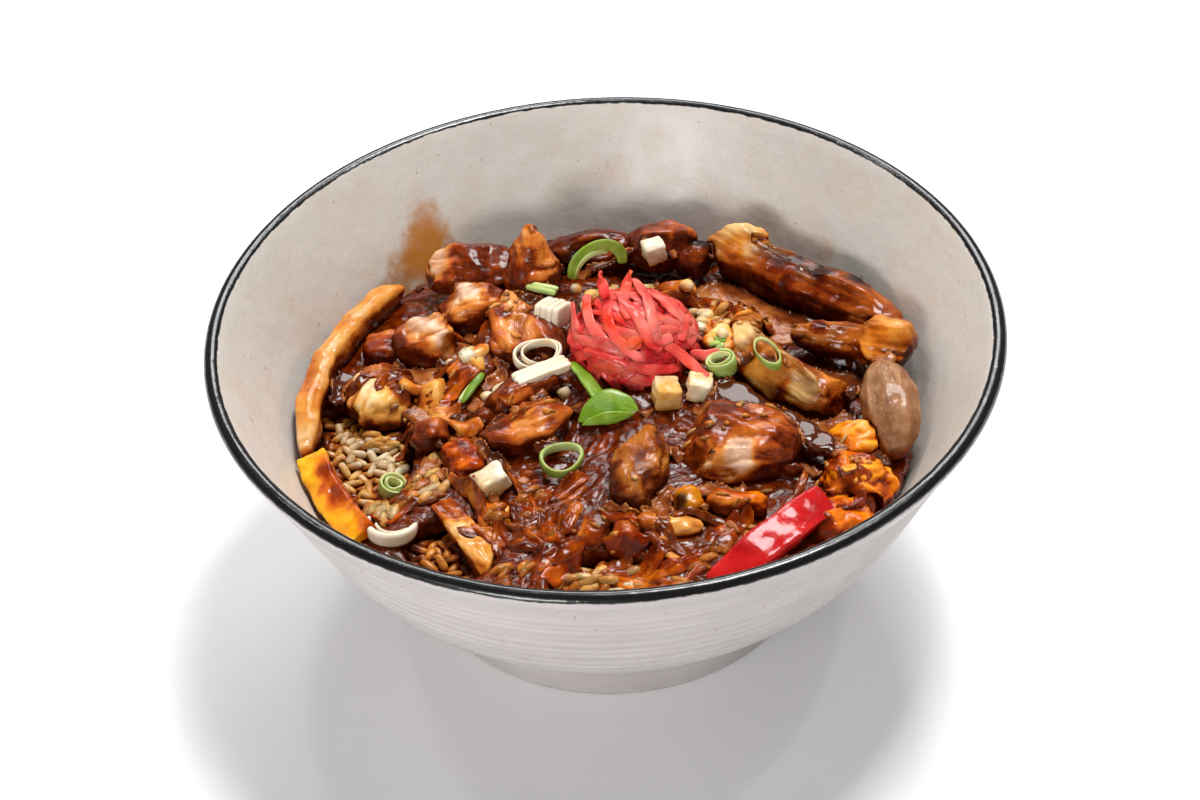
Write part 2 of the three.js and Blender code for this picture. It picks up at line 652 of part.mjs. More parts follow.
function layLeek(group) {
  const piece = (name, shape, at, turn, sunk) => lay(group, name, shape, COLOURS.leek, at, turn, sunk);
  piece("onion_hook", strip([25, 2.6, 4.6], { bend: 225, steps: 10 }), [-60.2, -43.4, 52.2], [-45]);
  piece("leek_block", strip([7.2, 7.2, 7], { steps: 1 }), [-13.8, 31], [12, 10, 14], 0.25);
  piece("leek_ring", ring(6.6, 1.7, 4, 0.86, 11), [-17.9, 13], [10, 0, 8], 0.2);
  piece("leek_strip", strip([15, 5.4, 2.6], { arch: 10, steps: 3 }), [-16.9, 5.2], [26], 0.3);
  piece("leek_chunk", strip([8, 7, 5.5], { steps: 1, taper: 0.1 }), [-30.4, -30], [30, 12, 0], 0.25);
  piece("onion_cube_back", strip([5.4, 5, 5], { steps: 1 }), [14.8, 54.4, 63.4], [15, 8, 0]);
  piece("onion_cube_front", strip([6.4, 7, 6], { steps: 1 }), [15.8, -2.2, 59.6], [10, -10, 0]);
  piece("onion_cube_right", strip([6.4, 6.6, 5], { steps: 1 }), [24.4, 0.6, 59.4], [-8, -8, 0]);
}

function layScallions(group) {
  const piece = (name, shape, at, turn, sunk) =>
    lay(group, `scallion_${name}`, shape, COLOURS.green, at, turn, sunk);
  piece("loop", strip([27, 4.4, 1.5], { arch: 200, steps: 9 }), [-1, 51.2, 68], [24, 0, 12]);
  piece("slice", strip([9, 4.4, 2.4], { arch: 15, steps: 2 }), [-16, 39.6, 63.2], [-28, 0, -14]);
  piece("strip", strip([17, 4.6, 1.7], { arch: 22, steps: 4 }), [-5, 1.6, 61.6], [-62, -10, -8]);
  piece("sliver", strip([13, 2.4, 1.6], { arch: 12, steps: 3 }), [-35, 8.6], [62], 0.25);
  piece("leaf", leafGeometry(), [0.4, -6], [18, -8, 0], 0.25);
  piece("ring_front", ring(5.8, 1.1, 4.2, 0.92, 11), [-12.5, -23.4], [0, 0, 8], 0.2);
  piece("ring_right", ring(4.2, 1.3, 5, 0.8, 9), [30.4, 6.8, 61], [20, -12, 0]);
  piece("ring_left", ring(3.9, 1.6, 4.4, 0.9, 9), [-55.8, -22], [0, 14, 10], 0.2);
  piece("ring_mushroom", ring(7, 1.3, 3.6, 0.58), [42.3, 5], [104, 8, -6], 0.2);
}

// A small leaf end folded along its middle.
function leafGeometry() {
  const leaf = new THREE.BoxGeometry(2, 2, 2, 4, 4, 1);
  const [halfLength, halfWidth, halfThickness, fold] = [7, 6, 0.7, 3.4];
  return warped(leaf, (point) => {
    const across = point.y * (1 - 0.42 * (point.x + 1));
    const ridge = fold * (1 - Math.abs(across)) - 0.5 * point.x;
    point.set(point.x * halfLength, across * halfWidth, point.z * halfThickness + ridge);
  });
}

// The ginger: strips that drape over a core, each one further round by the golden angle.
function gingerGeometry() {
  const core = chunk(GINGER_CORE, { squareness: 0.9, rough: 0.4, seed: 71 });
  const strips = Array.from({ length: GINGER_STRIPS }, (_, index) => gingerStrip(index));
  return joined(core, ...strips);
}

function gingerStrip(index) {
  const spread = Math.sqrt((index + 0.4) / GINGER_STRIPS);
  const round = index * GOLDEN_ANGLE;
  const x = 0.4 * GINGER_CORE[0] * spread * Math.cos(round);
  const y = 0.4 * GINGER_CORE[1] * spread * Math.sin(round);
  const dome = Math.sqrt(Math.max(0.05, 1 - (0.8 * spread) ** 2));
  const z = (GINGER_CORE[2] / 2) * dome + 0.6 + 0.8 * wobble(index, 21);
  const length = 18 + 9 * wobble(index, 22);
  const heading = 180 * wobble(index, 23);
  const slope = 40 * spread;
  const towards = THREE.MathUtils.radToDeg(round) - heading;
  const turn = [heading, -slope * Math.cos(degrees(towards)), -slope * Math.sin(degrees(towards))];
  const arch = 50 + 35 * wobble(index, 24);
  const bend = 70 * wobble(index, 25) - 35;
  return moved(strip([length, ...GINGER_SECTION], { steps: 3, arch, bend }), [x, y, z], turn);
}

function grouped(parent, name) {
  const group = new THREE.Group();
  group.name = name;
  parent.add(group);
  return group;
}

const root = new THREE.Group();
root.name = "bowl_of_oyakodon";
const bowl = solidOf(bowlGeometry());
set(grouped(root, "dish"), "bowl", bowl, COLOURS.glaze, bowl);
const filling = grouped(root, "filling");
const core = riceCore();
const raisedCore = solidOf(core.clone().translate(0, 0, GAP));
const grains = riceGrains();
const grainCutters = grains.map(cutterOf);
const rice = largestBody(united([core, ...grains].map(solidOf)));
set(filling, "rice", rice, COLOURS.rice, united([raisedCore, ...grainCutters]));
set(filling, "egg_bed", bedSolid(core), COLOURS.sauce, bedCutter());
layEgg(grouped(root, "egg"));
layOnion(grouped(root, "onion"));
layChicken(grouped(root, "chicken_pieces"));
layMushrooms(grouped(root, "mushrooms"));
layPeppersAndCorn(grouped(root, "peppers_and_corn"));
lay(grouped(root, "pickle"), "ginger", gingerGeometry(), COLOURS.ginger, GINGER_AT);
layLeek(grouped(root, "leek_and_raw_onion"));
layScallions(grouped(root, "spring_onion"));

export default root;
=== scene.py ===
"""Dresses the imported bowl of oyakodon: a ribbed stoneware bowl of rice, egg, chicken and vegetables.

Lengths inside the classes are in millimetres, and a piece's mesh is turned into metres when it is published.
"""

import logging
import math
from dataclasses import dataclass, field
from enum import Enum
from typing import Iterator, Sequence

import bmesh
import bpy
import numpy as np
from mathutils import Matrix, Vector


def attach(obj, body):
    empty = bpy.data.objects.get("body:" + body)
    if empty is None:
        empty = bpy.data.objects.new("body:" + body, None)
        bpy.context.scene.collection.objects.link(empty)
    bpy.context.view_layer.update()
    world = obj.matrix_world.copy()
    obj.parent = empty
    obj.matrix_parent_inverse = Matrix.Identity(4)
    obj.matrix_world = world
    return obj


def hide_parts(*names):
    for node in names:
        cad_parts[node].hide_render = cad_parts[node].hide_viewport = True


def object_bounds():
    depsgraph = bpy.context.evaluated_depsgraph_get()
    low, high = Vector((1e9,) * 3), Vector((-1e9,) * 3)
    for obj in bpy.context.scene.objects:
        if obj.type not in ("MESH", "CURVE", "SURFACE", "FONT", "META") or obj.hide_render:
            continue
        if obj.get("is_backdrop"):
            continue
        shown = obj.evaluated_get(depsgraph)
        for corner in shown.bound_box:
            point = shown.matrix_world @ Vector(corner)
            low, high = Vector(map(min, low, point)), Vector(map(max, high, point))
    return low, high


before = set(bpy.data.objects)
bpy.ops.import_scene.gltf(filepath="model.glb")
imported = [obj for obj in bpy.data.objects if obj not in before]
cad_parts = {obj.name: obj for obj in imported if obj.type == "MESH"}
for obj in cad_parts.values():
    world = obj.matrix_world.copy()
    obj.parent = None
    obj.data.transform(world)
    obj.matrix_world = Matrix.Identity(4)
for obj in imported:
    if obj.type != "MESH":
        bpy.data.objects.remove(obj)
CAD_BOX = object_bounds()

logging.basicConfig(level=logging.INFO, format="%(message)s")
log = logging.getLogger("oyakodon")

Colour = tuple[float, float, float]
Point = tuple[float, float, float]
Place = tuple[float, float]
Spot = tuple[float, float, float, float]
Array = np.ndarray
Piece = bpy.types.Object
Mesh = bpy.types.Mesh
Shape = bmesh.types.BMesh
Socket = bpy.types.NodeSocket

MM = 0.001
GOLDEN_ANGLE = math.pi * (3 - math.sqrt(5))
# Nothing is strewn on these, and neither the sauce nor its painted shade soaks into them
CLEAN = ("pepper", "ginger", "leek", "scallion")
CUBES_AND_HOOK = ("onion_hook", "onion_cube")


def chance(item: float, purpose: float) -> float:
    """Returns a repeatable number from 0 to 1 for an item and a purpose."""
    raw = math.sin(item * 12.9898 + purpose * 78.233) * 43758.5453
    return raw - math.floor(raw)


def smooth_step(low: float, high: float, value: Array) -> Array:
    """Returns 0 below low, 1 above high, and a smooth rise between."""
    share = np.clip((value - low) / (high - low), 0, 1)
    return share * share * (3 - 2 * share)


def cell_noise(points: Array, seed: float) -> Array:
    """Returns smooth noise of -1 to 1 with one value for each unit cell.

    Args:
        points: Places, already divided by the wanted cell size.
        seed: Picks the pattern.

    Returns:
        One value for each place.
    """
    shifted = points + np.array([seed * 1.37, seed * 2.11, seed * 3.73])
    cell = np.floor(shifted)
    inside = shifted - cell
    ease = inside**3 * (inside * (inside * 6 - 15) + 10)
    total = np.zeros(len(points))
    for corner in np.ndindex(2, 2, 2):
        step = np.array(corner, float)
        raw = np.sin((cell + step) @ np.array([12.9898, 78.233, 37.719])) * 43758.5453
        weight = np.prod(np.where(step > 0, ease, 1 - ease), axis=1)
        total += (raw - np.floor(raw)) * weight
    return total * 2 - 1


def layered_noise(points: Array, size: float, seed: float, layers: int = 3) -> Array:
    """Returns noise of about -1 to 1 with finer layers on top of coarse ones.

    Args:
        points: Places in millimetres.
        size: The coarse layer's cell in millimetres.
        seed: Picks the pattern.
        layers: How many layers, each with half the cell and half the height.

    Returns:
        One value for each place.
    """
    total, height, sum_of_heights = np.zeros(len(points)), 1.0, 0.0
    for layer in range(layers):
        total += height * cell_noise(points * (2**layer) / size, seed + 5.3 * layer)
        sum_of_heights += height
        height *= 0.5
    return total / sum_of_heights


def cells(points: Array, seed: float) -> tuple[Array, Array]:
    """Finds the random cell that each place lies in, with about one cell for each unit cube.

    Args:
        points: Places, already divided by the wanted cell size.
        seed: Picks the pattern.

    Returns:
        How far each place is from the edge of its cell, and the cell's number from 0 to 1.
    """
    base = np.floor(points)
    nearest, second, owner = np.full(len(points), 9.0), np.full(len(points), 9.0), np.zeros(len(points))
    for corner in np.ndindex(3, 3, 3):
        cell = base + np.array(corner) - 1
        raw = np.sin(cell @ np.array([12.71, 31.17, 7.47]) + seed * 1.93) * 43758.5453
        parts = np.stack([raw, raw * 1.731, raw * 2.377], axis=1)
        parts -= np.floor(parts)
        apart = np.linalg.norm(cell + 0.1 + 0.8 * parts - points, axis=1)
        closer = apart < nearest
        second = np.where(closer, nearest, np.minimum(second, apart))
        owner = np.where(closer, parts[:, 0], owner)
        nearest = np.where(closer, apart, nearest)
    return second - nearest, owner


def fraction(values: Array) -> Array:
    """Returns the part of each value after its decimal point."""
    return values - np.floor(values)


def warped(points: Array, size: float, reach: float) -> Array:
    """Returns the places pushed about by noise, so that no pattern on them runs straight."""
    push = np.stack([layered_noise(points, size, seed, 2) for seed in (31.0, 47.0, 59.0)], axis=1)
    return points + reach * push


def linear(code: str) -> Colour:
    """Turns a six-digit colour code into linear light values."""
    raw = [int(code[index : index + 2], 16) / 255 for index in (0, 2, 4)]
    return tuple(value / 12.92 if value <= 0.04045 else ((value + 0.055) / 1.055) ** 2.4 for value in raw)


class Recipe:
    """Builds the nodes of one material."""

    def __init__(self, name: str) -> None:
        """Starts a material with its shader.

        Args:
            name: The material's name.
        """
        self.material = bpy.data.materials.new(name)
        self.material.use_nodes = True
        self.tree = self.material.node_tree
        self.shader = self.tree.nodes["Principled BSDF"]

    def make(self, kind: str, inputs: dict | None = None, **settings: object) -> bpy.types.Node:
        """Adds a node.

        Args:
            kind: The node's Blender type, without its ShaderNode prefix.
            inputs: Values or sockets by input name or number.
            settings: The node's own properties.

        Returns:
            The new node.
        """
        node = self.tree.nodes.new("ShaderNode" + kind)
        for name, value in settings.items():
            setattr(node, name, value)
        for key, value in (inputs or {}).items():
            self.plug(node.inputs[key], value)
        return node

    def plug(self, socket: Socket, value: object) -> None:
        """Links a socket into an input, or sets the input's value.

        Args:
            socket: The input.
            value: What goes into it.
        """
        if isinstance(value, Socket):
            self.tree.links.new(value, socket)
        elif isinstance(value, tuple) and len(value) == 3 and len(socket.default_value) == 4:
            socket.default_value = (*value, 1)
        else:
            socket.default_value = value

    def where(self) -> Socket:
        """Returns the place on the object in millimetres."""
        place = self.make("TexCoord").outputs["Object"]
        return self.make("VectorMath", {0: place, "Scale": 1 / MM}, operation="SCALE").outputs[0]

    def layer(self, name: str, vector: bool = False) -> Socket:
        """Returns a value or vector that is stored on the mesh."""
        node = self.make("Attribute", attribute_name=name)
        return node.outputs["Vector" if vector else "Fac"]

    def stretch(self, place: Socket, sizes: Point) -> Socket:
        """Returns the place divided by a size for each axis."""
        factors = tuple(1 / size for size in sizes)
        return self.make("VectorMath", {0: place, 1: factors}, operation="MULTIPLY").outputs[0]

    def noise(self, place: object, size: float, detail: float = 3, rough: float = 0.55) -> Socket:
        """Returns noise of 0 to 1 with features of a size in millimetres."""
        inputs = {"Vector": place, "Scale": 1 / size, "Detail": detail, "Roughness": rough}
        return self.make("TexNoise", inputs).outputs["Fac"]

    def sums(self, operation: str, *values: object) -> Socket:
        """Returns a Math node's result."""
        return self.make("Math", dict(enumerate(values)), operation=operation).outputs[0]

    def between(self, value: object, low: float, high: float, to: Place = (0.0, 1.0)) -> Socket:
        """Returns a smooth rise from to[0] at low to to[1] at high."""
        inputs = {"Value": value, "From Min": low, "From Max": high, "To Min": to[0], "To Max": to[1]}
        return self.make("MapRange", inputs, interpolation_type="SMOOTHSTEP").outputs["Result"]

    def blend(self, share: object, first: object, second: object, way: str = "MIX") -> Socket:
        """Returns the mix of two colours."""
        node = self.make("Mix", {0: share, 6: first, 7: second}, data_type="RGBA", blend_type=way)
        return node.outputs[2]

    def ramp(self, share: object, colours: Sequence[Colour]) -> Socket:
        """Picks a colour from even stops.

        Args:
            share: How far through the stops.
            colours: The stops.

        Returns:
            The colour's socket.
        """
        node = self.make("ValToRGB", {0: share})
        stops = node.color_ramp.elements
        while len(stops) < len(colours):
            stops.new(0.5)
        for index, colour in enumerate(colours):
            stops[index].position = index / max(1, len(colours) - 1)
            stops[index].color = (*colour, 1)
        return node.outputs["Color"]

    def bump(self, height: object, depth: float, below: object = None) -> object:
        """Returns a bumped normal.

        Args:
            height: The relief, from 0 to 1.
            depth: The relief's height in millimetres.
            below: The normal that this relief lies on.

        Returns:
            The normal's socket.
        """
        inputs = {"Height": height, "Distance": depth * MM, "Strength": 1.0}
        if below is not None:
            inputs["Normal"] = below
        return self.make("Bump", inputs).outputs[0]

    def finish(self, **inputs: object) -> bpy.types.Material:
        """Sets the shader's inputs.

        Args:
            inputs: Values or sockets by name, with _ for spaces.

        Returns:
            The material.
        """
        for name, value in inputs.items():
            self.plug(self.shader.inputs[name.replace("_", " ")], value)
        return self.material


# What the sauce lets through, from none of it to a thick pool
SAUCE_GLAZE: tuple[Colour, ...] = ((1.0, 1.0, 1.0), (0.97, 0.83, 0.62), (0.93, 0.57, 0.18), (0.76, 0.3, 0.05),
                                   (0.38, 0.085, 0.012), (0.1, 0.018, 0.005))


@dataclass(frozen=True)
class FoodFinish:
    """The look of one kind of food, with the sauce that runs over it."""

    name: str
    slot: str
    tones: tuple[Colour, ...]
    deep: Colour
    accent: Colour
    tint: Colour = linear("efe0c2")
    grain: Point = (1.2, 1.2, 1.2)
    grain_depth: float = 0.12
    roughness: float = 0.4
    clearness: float = 0.2
    glow: float = 1.6
    freckles: float = 0.0
    blotch: float = 0.07
    accent_roughness: float = 0.0
    streak: float = 0.0

    def material(self) -> bpy.types.Material:
        """Builds the food's material.

        Returns:
            The material, made once and shared by every piece of this food.
        """
        known = bpy.data.materials.get(self.name)
        if known:
            return known
        recipe = Recipe(self.name)
        place, lie = recipe.where(), recipe.layer("lie", vector=True)
        fibres = recipe.noise(recipe.stretch(lie, self.grain), 1.0, 4)
        cloud = recipe.between(recipe.noise(place, 5, 3), 0.25, 0.75, (-0.22, 0.22))
        bands = recipe.noise(recipe.stretch(lie, (13, 2.2, 2.2)), 1.0, 3)
        cloud = recipe.sums("ADD", cloud, recipe.between(bands, 0.35, 0.65, (-self.streak, self.streak)))
        colour = recipe.ramp(recipe.sums("ADD", recipe.layer("tone"), cloud), self.tones)
        colour = recipe.blend(recipe.between(fibres, 0.48, 0.8, (0, 0.6)), colour, self.deep)
        colour = recipe.blend(recipe.layer("accent"), colour, self.accent)
        colour = recipe.blend(recipe.layer("tint"), colour, self.tint)
        # Painted shade: the crease layer darkens the colour towards the deep tone in hollows and low places
        colour = recipe.blend(recipe.sums("MULTIPLY", recipe.layer("crease"), 0.7), colour, self.deep)
        if self.freckles:
            spots = recipe.between(recipe.noise(place, 0.5, 1, 0.3), 0.69, 0.75, (0, self.freckles))
            colour = recipe.blend(spots, colour, linear("2e170a"))
        runs = recipe.between(recipe.noise(place, 2.4, 3, 0.5), 0.25, 0.75, (-self.blotch, self.blotch))
        sauce = recipe.sums("ADD", recipe.layer("sauce"), runs)
        colour = recipe.blend(1.0, colour, recipe.ramp(sauce, SAUCE_GLAZE), "MULTIPLY")
        ripple = recipe.bump(recipe.noise(place, 1.7, 2), 0.1)
        relief = recipe.bump(fibres, self.grain_depth, ripple)
        wet = recipe.between(sauce, 0.1, 0.35, (self.roughness, 0.12))
        wet = recipe.sums("MULTIPLY_ADD", recipe.layer("accent"), self.accent_roughness, wet)
        recipe.shader.inputs["Subsurface Radius"].default_value = (1.0, 0.45, 0.22)
        return recipe.finish(
            Base_Color=colour, Roughness=wet, Normal=relief, Subsurface_Weight=self.clearness,
            Subsurface_Scale=self.glow * MM, Coat_Weight=0.2, Coat_Roughness=0.04, Coat_IOR=1.45, IOR=1.42,
            Specular_IOR_Level=0.14,
        )


def tones(*codes: str) -> tuple[Colour, ...]:
    """Returns the colours of several codes."""
    return tuple(linear(code) for code in codes)


CHICKEN = FoodFinish(
    "chicken_meat", "chicken", tones("b98a72", "d2a890", "e1c0aa", "cfa28a"), linear("80502f"),
    linear("6b3013"), linear("e2c3a2"), grain=(5.5, 0.9, 0.9), grain_depth=0.2, freckles=0.5)
GREY_CHICKEN = FoodFinish(
    "grained_chicken_meat", "chicken", tones("a58b6f", "bda387", "cdb69b"), linear("7c5f45"),
    linear("6b3013"), linear("dcc8ac"), grain=(1.1, 1.1, 1.1), grain_depth=0.3, freckles=0.9)
MUSHROOM = FoodFinish(
    "mushroom_flesh", "mushroom", tones("8a5c3c", "a3744f", "b98d68"), linear("472a17"), linear("130c08"),
    linear("d9b277"), grain=(8, 0.7, 0.7), grain_depth=0.07, clearness=0.1, roughness=0.34,
    accent_roughness=0.4, streak=0.4)
DRY_MUSHROOM = FoodFinish(
    "mushroom_skin", "mushroom", tones("7a5439", "94694a", "ad8663"), linear("4c301c"), linear("130c08"),
    linear("d9c2a2"), grain=(6, 0.5, 0.5), grain_depth=0.05, clearness=0.1, roughness=0.5, streak=0.25)
ONION = FoodFinish(
    "simmered_onion", "onion", tones("d3a469", "dfba86", "e9d0a6"), linear("96602a"), linear("b06a1e"),
    linear("e9dcc0"), grain=(9, 0.8, 0.8), grain_depth=0.12, clearness=0.35, glow=2.2, roughness=0.28)
ARC = FoodFinish(
    "clear_onion", "onion", tones("c59a66", "d8b78b", "e6d2b2"), linear("a8743c"), linear("b06a1e"),
    linear("e9dcc0"), grain=(14, 0.7, 0.7), grain_depth=0.12, clearness=0.6, glow=3.0, roughness=0.22)
EGG = FoodFinish(
    "soft_egg", "egg", tones("dc8f1c", "eba92c", "f0bd48"), linear("a4540f"), linear("e6c88c"),
    linear("ecd6a4"), grain=(1.4, 1.4, 1.4), grain_depth=0.25, clearness=0.3, glow=1.8, roughness=0.25)
BED = FoodFinish(
    "egg_and_sauce", "sauce_bed", tones("b9863f", "d3a65e", "d0942c", "e0c694", "b97c34", "d9b676"),
    linear("4a1d0a"), linear("d99a24"), linear("e6d3ac"), grain=(1.8, 1.8, 1.8), grain_depth=0.25,
    clearness=0.25, glow=1.6, roughness=0.22)
LEEK = FoodFinish(
    "white_leek", "leek", tones("cdbfa3", "ded3be", "e8dfd0"), linear("b89f76"), linear("b9c878"),
    grain=(9, 0.6, 0.6), grain_depth=0.06, clearness=0.3, glow=1.8, roughness=0.3)
GREEN = FoodFinish(
    "spring_onion_green", "spring_onion", tones("4e7616", "729526", "9cb94c"), linear("416210"),
    linear("cfd79a"), grain=(10, 0.5, 0.5), grain_depth=0.06, clearness=0.25, roughness=0.28)
RED_PEPPER = FoodFinish(
    "red_pepper_skin", "red_pepper", tones("9e1014", "bd1a1b", "cf2a26"), linear("8a0c10"), linear("d9604e"),
    grain_depth=0.03, clearness=0.15, roughness=0.16)
YELLOW_PEPPER = FoodFinish(
    "yellow_pepper_skin", "yellow_pepper", tones("d9930f", "ecb21d", "f3c532"), linear("c8790f"),
    linear("b4500f"), grain_depth=0.03, clearness=0.2, roughness=0.16)
CORN = FoodFinish(
    "corn_kernel", "corn", tones("a8640c", "c98512", "dfa32a"), linear("7a4208"), linear("3a1a06"),
    grain_depth=0.05, clearness=0.3, roughness=0.2)
GINGER = FoodFinish(
    "red_ginger", "ginger", tones("b81c24", "d83532", "ea5a4e"), linear("a8161e"), linear("f08a7c"),
    grain=(9, 0.45, 0.45), grain_depth=0.05, clearness=0.4, glow=2.2, roughness=0.26)
RICE = FoodFinish(
    "cooked_rice", "rice", tones("a48e76", "bba88f", "d6c9b4"), linear("6f543c"), linear("efe8d8"),
    grain=(3, 1, 1), grain_depth=0.03, clearness=0.55, glow=1.6, roughness=0.22)


class Relief(Enum):
    """The shapes that a layer of unevenness can take."""

    ROUND = "round lumps"
    CREASED = "sharp valleys"


@dataclass(frozen=True)
class Unevenness:
    """One layer of unevenness: cells of a size along, across and up the piece, and their height."""

    size: Point
    height: float
    relief: Relief = Relief.ROUND
    seed: float = 1.0

    def rise(self, lie: Array) -> Array:
        """Returns how far each place moves out.

        Args:
            lie: Places in the piece's own frame, in millimetres.

        Returns:
            Millimetres for each place.
        """
        value = layered_noise(lie / np.array(self.size), 1.0, self.seed, 2)
        if self.relief is Relief.CREASED:
            value = 2.2 * np.abs(value) - 0.7
        return self.height * value


class Mark(Enum):
    """What a listed patch puts on the food."""

    SAUCE = "sauce"
    BARE = "bare"
    ACCENT = "accent"
    TINT = "tint"
    POOL = "pool"


@dataclass(frozen=True)
class Patch:
    """A soft-edged patch on the food, seen from above."""

    mark: Mark
    at: Place
    radius: float
    amount: float

    def cover(self, points: Array) -> Array:
        """Finds how much of the patch lies on each place.

        Args:
            points: Places in millimetres.

        Returns:
            A share for each place.
        """
        wavy = 0.7 * self.radius * layered_noise(points, 6, self.at[0], 2)
        apart = np.hypot(points[:, 0] - self.at[0], points[:, 1] - self.at[1]) + wavy
        return self.amount * smooth_step(1.5 * self.radius, 0.3 * self.radius, apart)


def patches(mark: Mark, amount: float, spots: Sequence[Point]) -> tuple[Patch, ...]:
    """Returns patches of one kind, each from its x, y and radius."""
    return tuple(Patch(mark, (x, y), radius, amount) for x, y, radius in spots)


def sauces(*spots: Point) -> tuple[Patch, ...]:
    """Returns patches of sauce."""
    return patches(Mark.SAUCE, 0.84, spots)


def accents(*spots: Point) -> tuple[Patch, ...]:
    """Returns patches of the finish's accent colour."""
    return patches(Mark.ACCENT, 1.0, spots)


def tints(*spots: Point) -> tuple[Patch, ...]:
    """Returns patches of the finish's tint."""
    return patches(Mark.TINT, 1.0, spots)


def pools(*spots: Point) -> tuple[Patch, ...]:
    """Returns smooth pools of sauce."""
    return patches(Mark.POOL, 1.0, spots)


def bares(*spots: Point) -> tuple[Patch, ...]:
    """Returns patches with little sauce."""
    return patches(Mark.BARE, 0.7, spots)


def read(items: bpy.types.bpy_prop_collection, name: str, width: int) -> Array:
    """Reads numbers from the parts of a mesh.

    Args:
        items: The parts.
        name: The property that holds the numbers.
        width: How many numbers each part has.

    Returns:
        A row of numbers for each part.
    """
    flat = np.zeros(len(items) * width, np.float32)
    items.foreach_get(name, flat)
    return flat.reshape(-1, width)


def read_points(mesh: Mesh) -> Array:
    """Returns the mesh's corners in millimetres."""
    return read(mesh.vertices, "co", 3).astype(float) / MM


def write_points(mesh: Mesh, points: Array) -> None:
    """Moves the mesh's corners to places in millimetres."""
    mesh.vertices.foreach_set("co", (points * MM).astype(np.float32).ravel())
    mesh.update()


def read_normals(mesh: Mesh) -> Array:
    """Returns the direction out of the mesh at each corner."""
    return read(mesh.vertex_normals, "vector", 3).astype(float)


def places_on(mesh: Mesh, shares: Sequence[Place]) -> Iterator[Array]:
    """Finds places spread over a mesh.

    Args:
        mesh: The mesh.
        shares: Weights of a triangle's first two corners, a pair for each place wanted on it.

    Yields:
        One place on every triangle, in millimetres.
    """
    mesh.calc_loop_triangles()
    index = np.zeros(len(mesh.loop_triangles) * 3, np.int64)
    mesh.loop_triangles.foreach_get("vertices", index)
    corners = read_points(mesh)[index.reshape(-1, 3)]
    for first, second in shares:
        yield corners[:, 0] * first + corners[:, 1] * second + corners[:, 2] * (1 - first - second)


def read_values(mesh: Mesh, name: str) -> Array:
    """Returns the value that is kept for each vertex under a name."""
    return read(mesh.attributes[name].data, "value", 1)[:, 0]


def store(mesh: Mesh, name: str, values: Array) -> None:
    """Keeps a value or a place for each vertex, for the finishes to read.

    Args:
        mesh: The mesh.
        name: What it is kept under.
        values: One for each vertex.
    """
    kind = "FLOAT_VECTOR" if values.ndim == 2 else "FLOAT"
    layer = mesh.attributes.get(name) or mesh.attributes.new(name, kind, "POINT")
    layer.data.foreach_set("vector" if values.ndim == 2 else "value", values.astype(np.float32).ravel())


def object_of(name: str, mesh: Mesh) -> Piece:
    """Puts a mesh into the scene as an object at the origin.

    Args:
        name: The object's name.
        mesh: Its mesh.

    Returns:
        The object.
    """
    piece = bpy.data.objects.new(name, mesh)
    bpy.context.scene.collection.objects.link(piece)
    return piece


def mesh_of(name: str, shape: Shape) -> Mesh:
    """Turns a bmesh in millimetres into a mesh in metres, and frees the bmesh.

    Args:
        name: The mesh's name.
        shape: The bmesh.

    Returns:
        The mesh.
    """
    bmesh.ops.scale(shape, vec=(MM, MM, MM), verts=shape.verts)
    mesh = bpy.data.meshes.new(name)
    shape.to_mesh(mesh)
    shape.free()
    return mesh


def publish(piece: Piece, finish: "FoodFinish | GlazeFinish | SauceFinish", *nodes: str) -> None:
    """Dresses a finished piece and reports it.

    Args:
        piece: The piece, with its place in its mesh.
        finish: Its look.
        nodes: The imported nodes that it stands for, if any.
    """
    mesh = piece.data
    mesh.materials.clear()
    mesh.materials.append(finish.material())
    mesh.polygons.foreach_set("use_smooth", np.ones(len(mesh.polygons), bool))
    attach(piece, "root")
    if nodes:
        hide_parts(*nodes)
    log.info("%s: %d faces", piece.name, len(mesh.polygons))


def bake(piece: Piece) -> None:
    """Applies a piece's modifiers to its mesh.

    Args:
        piece: The piece.
    """
    graph = bpy.context.evaluated_depsgraph_get()
    mesh = bpy.data.meshes.new_from_object(piece.evaluated_get(graph))
    piece.modifiers.clear()
    piece.data = mesh


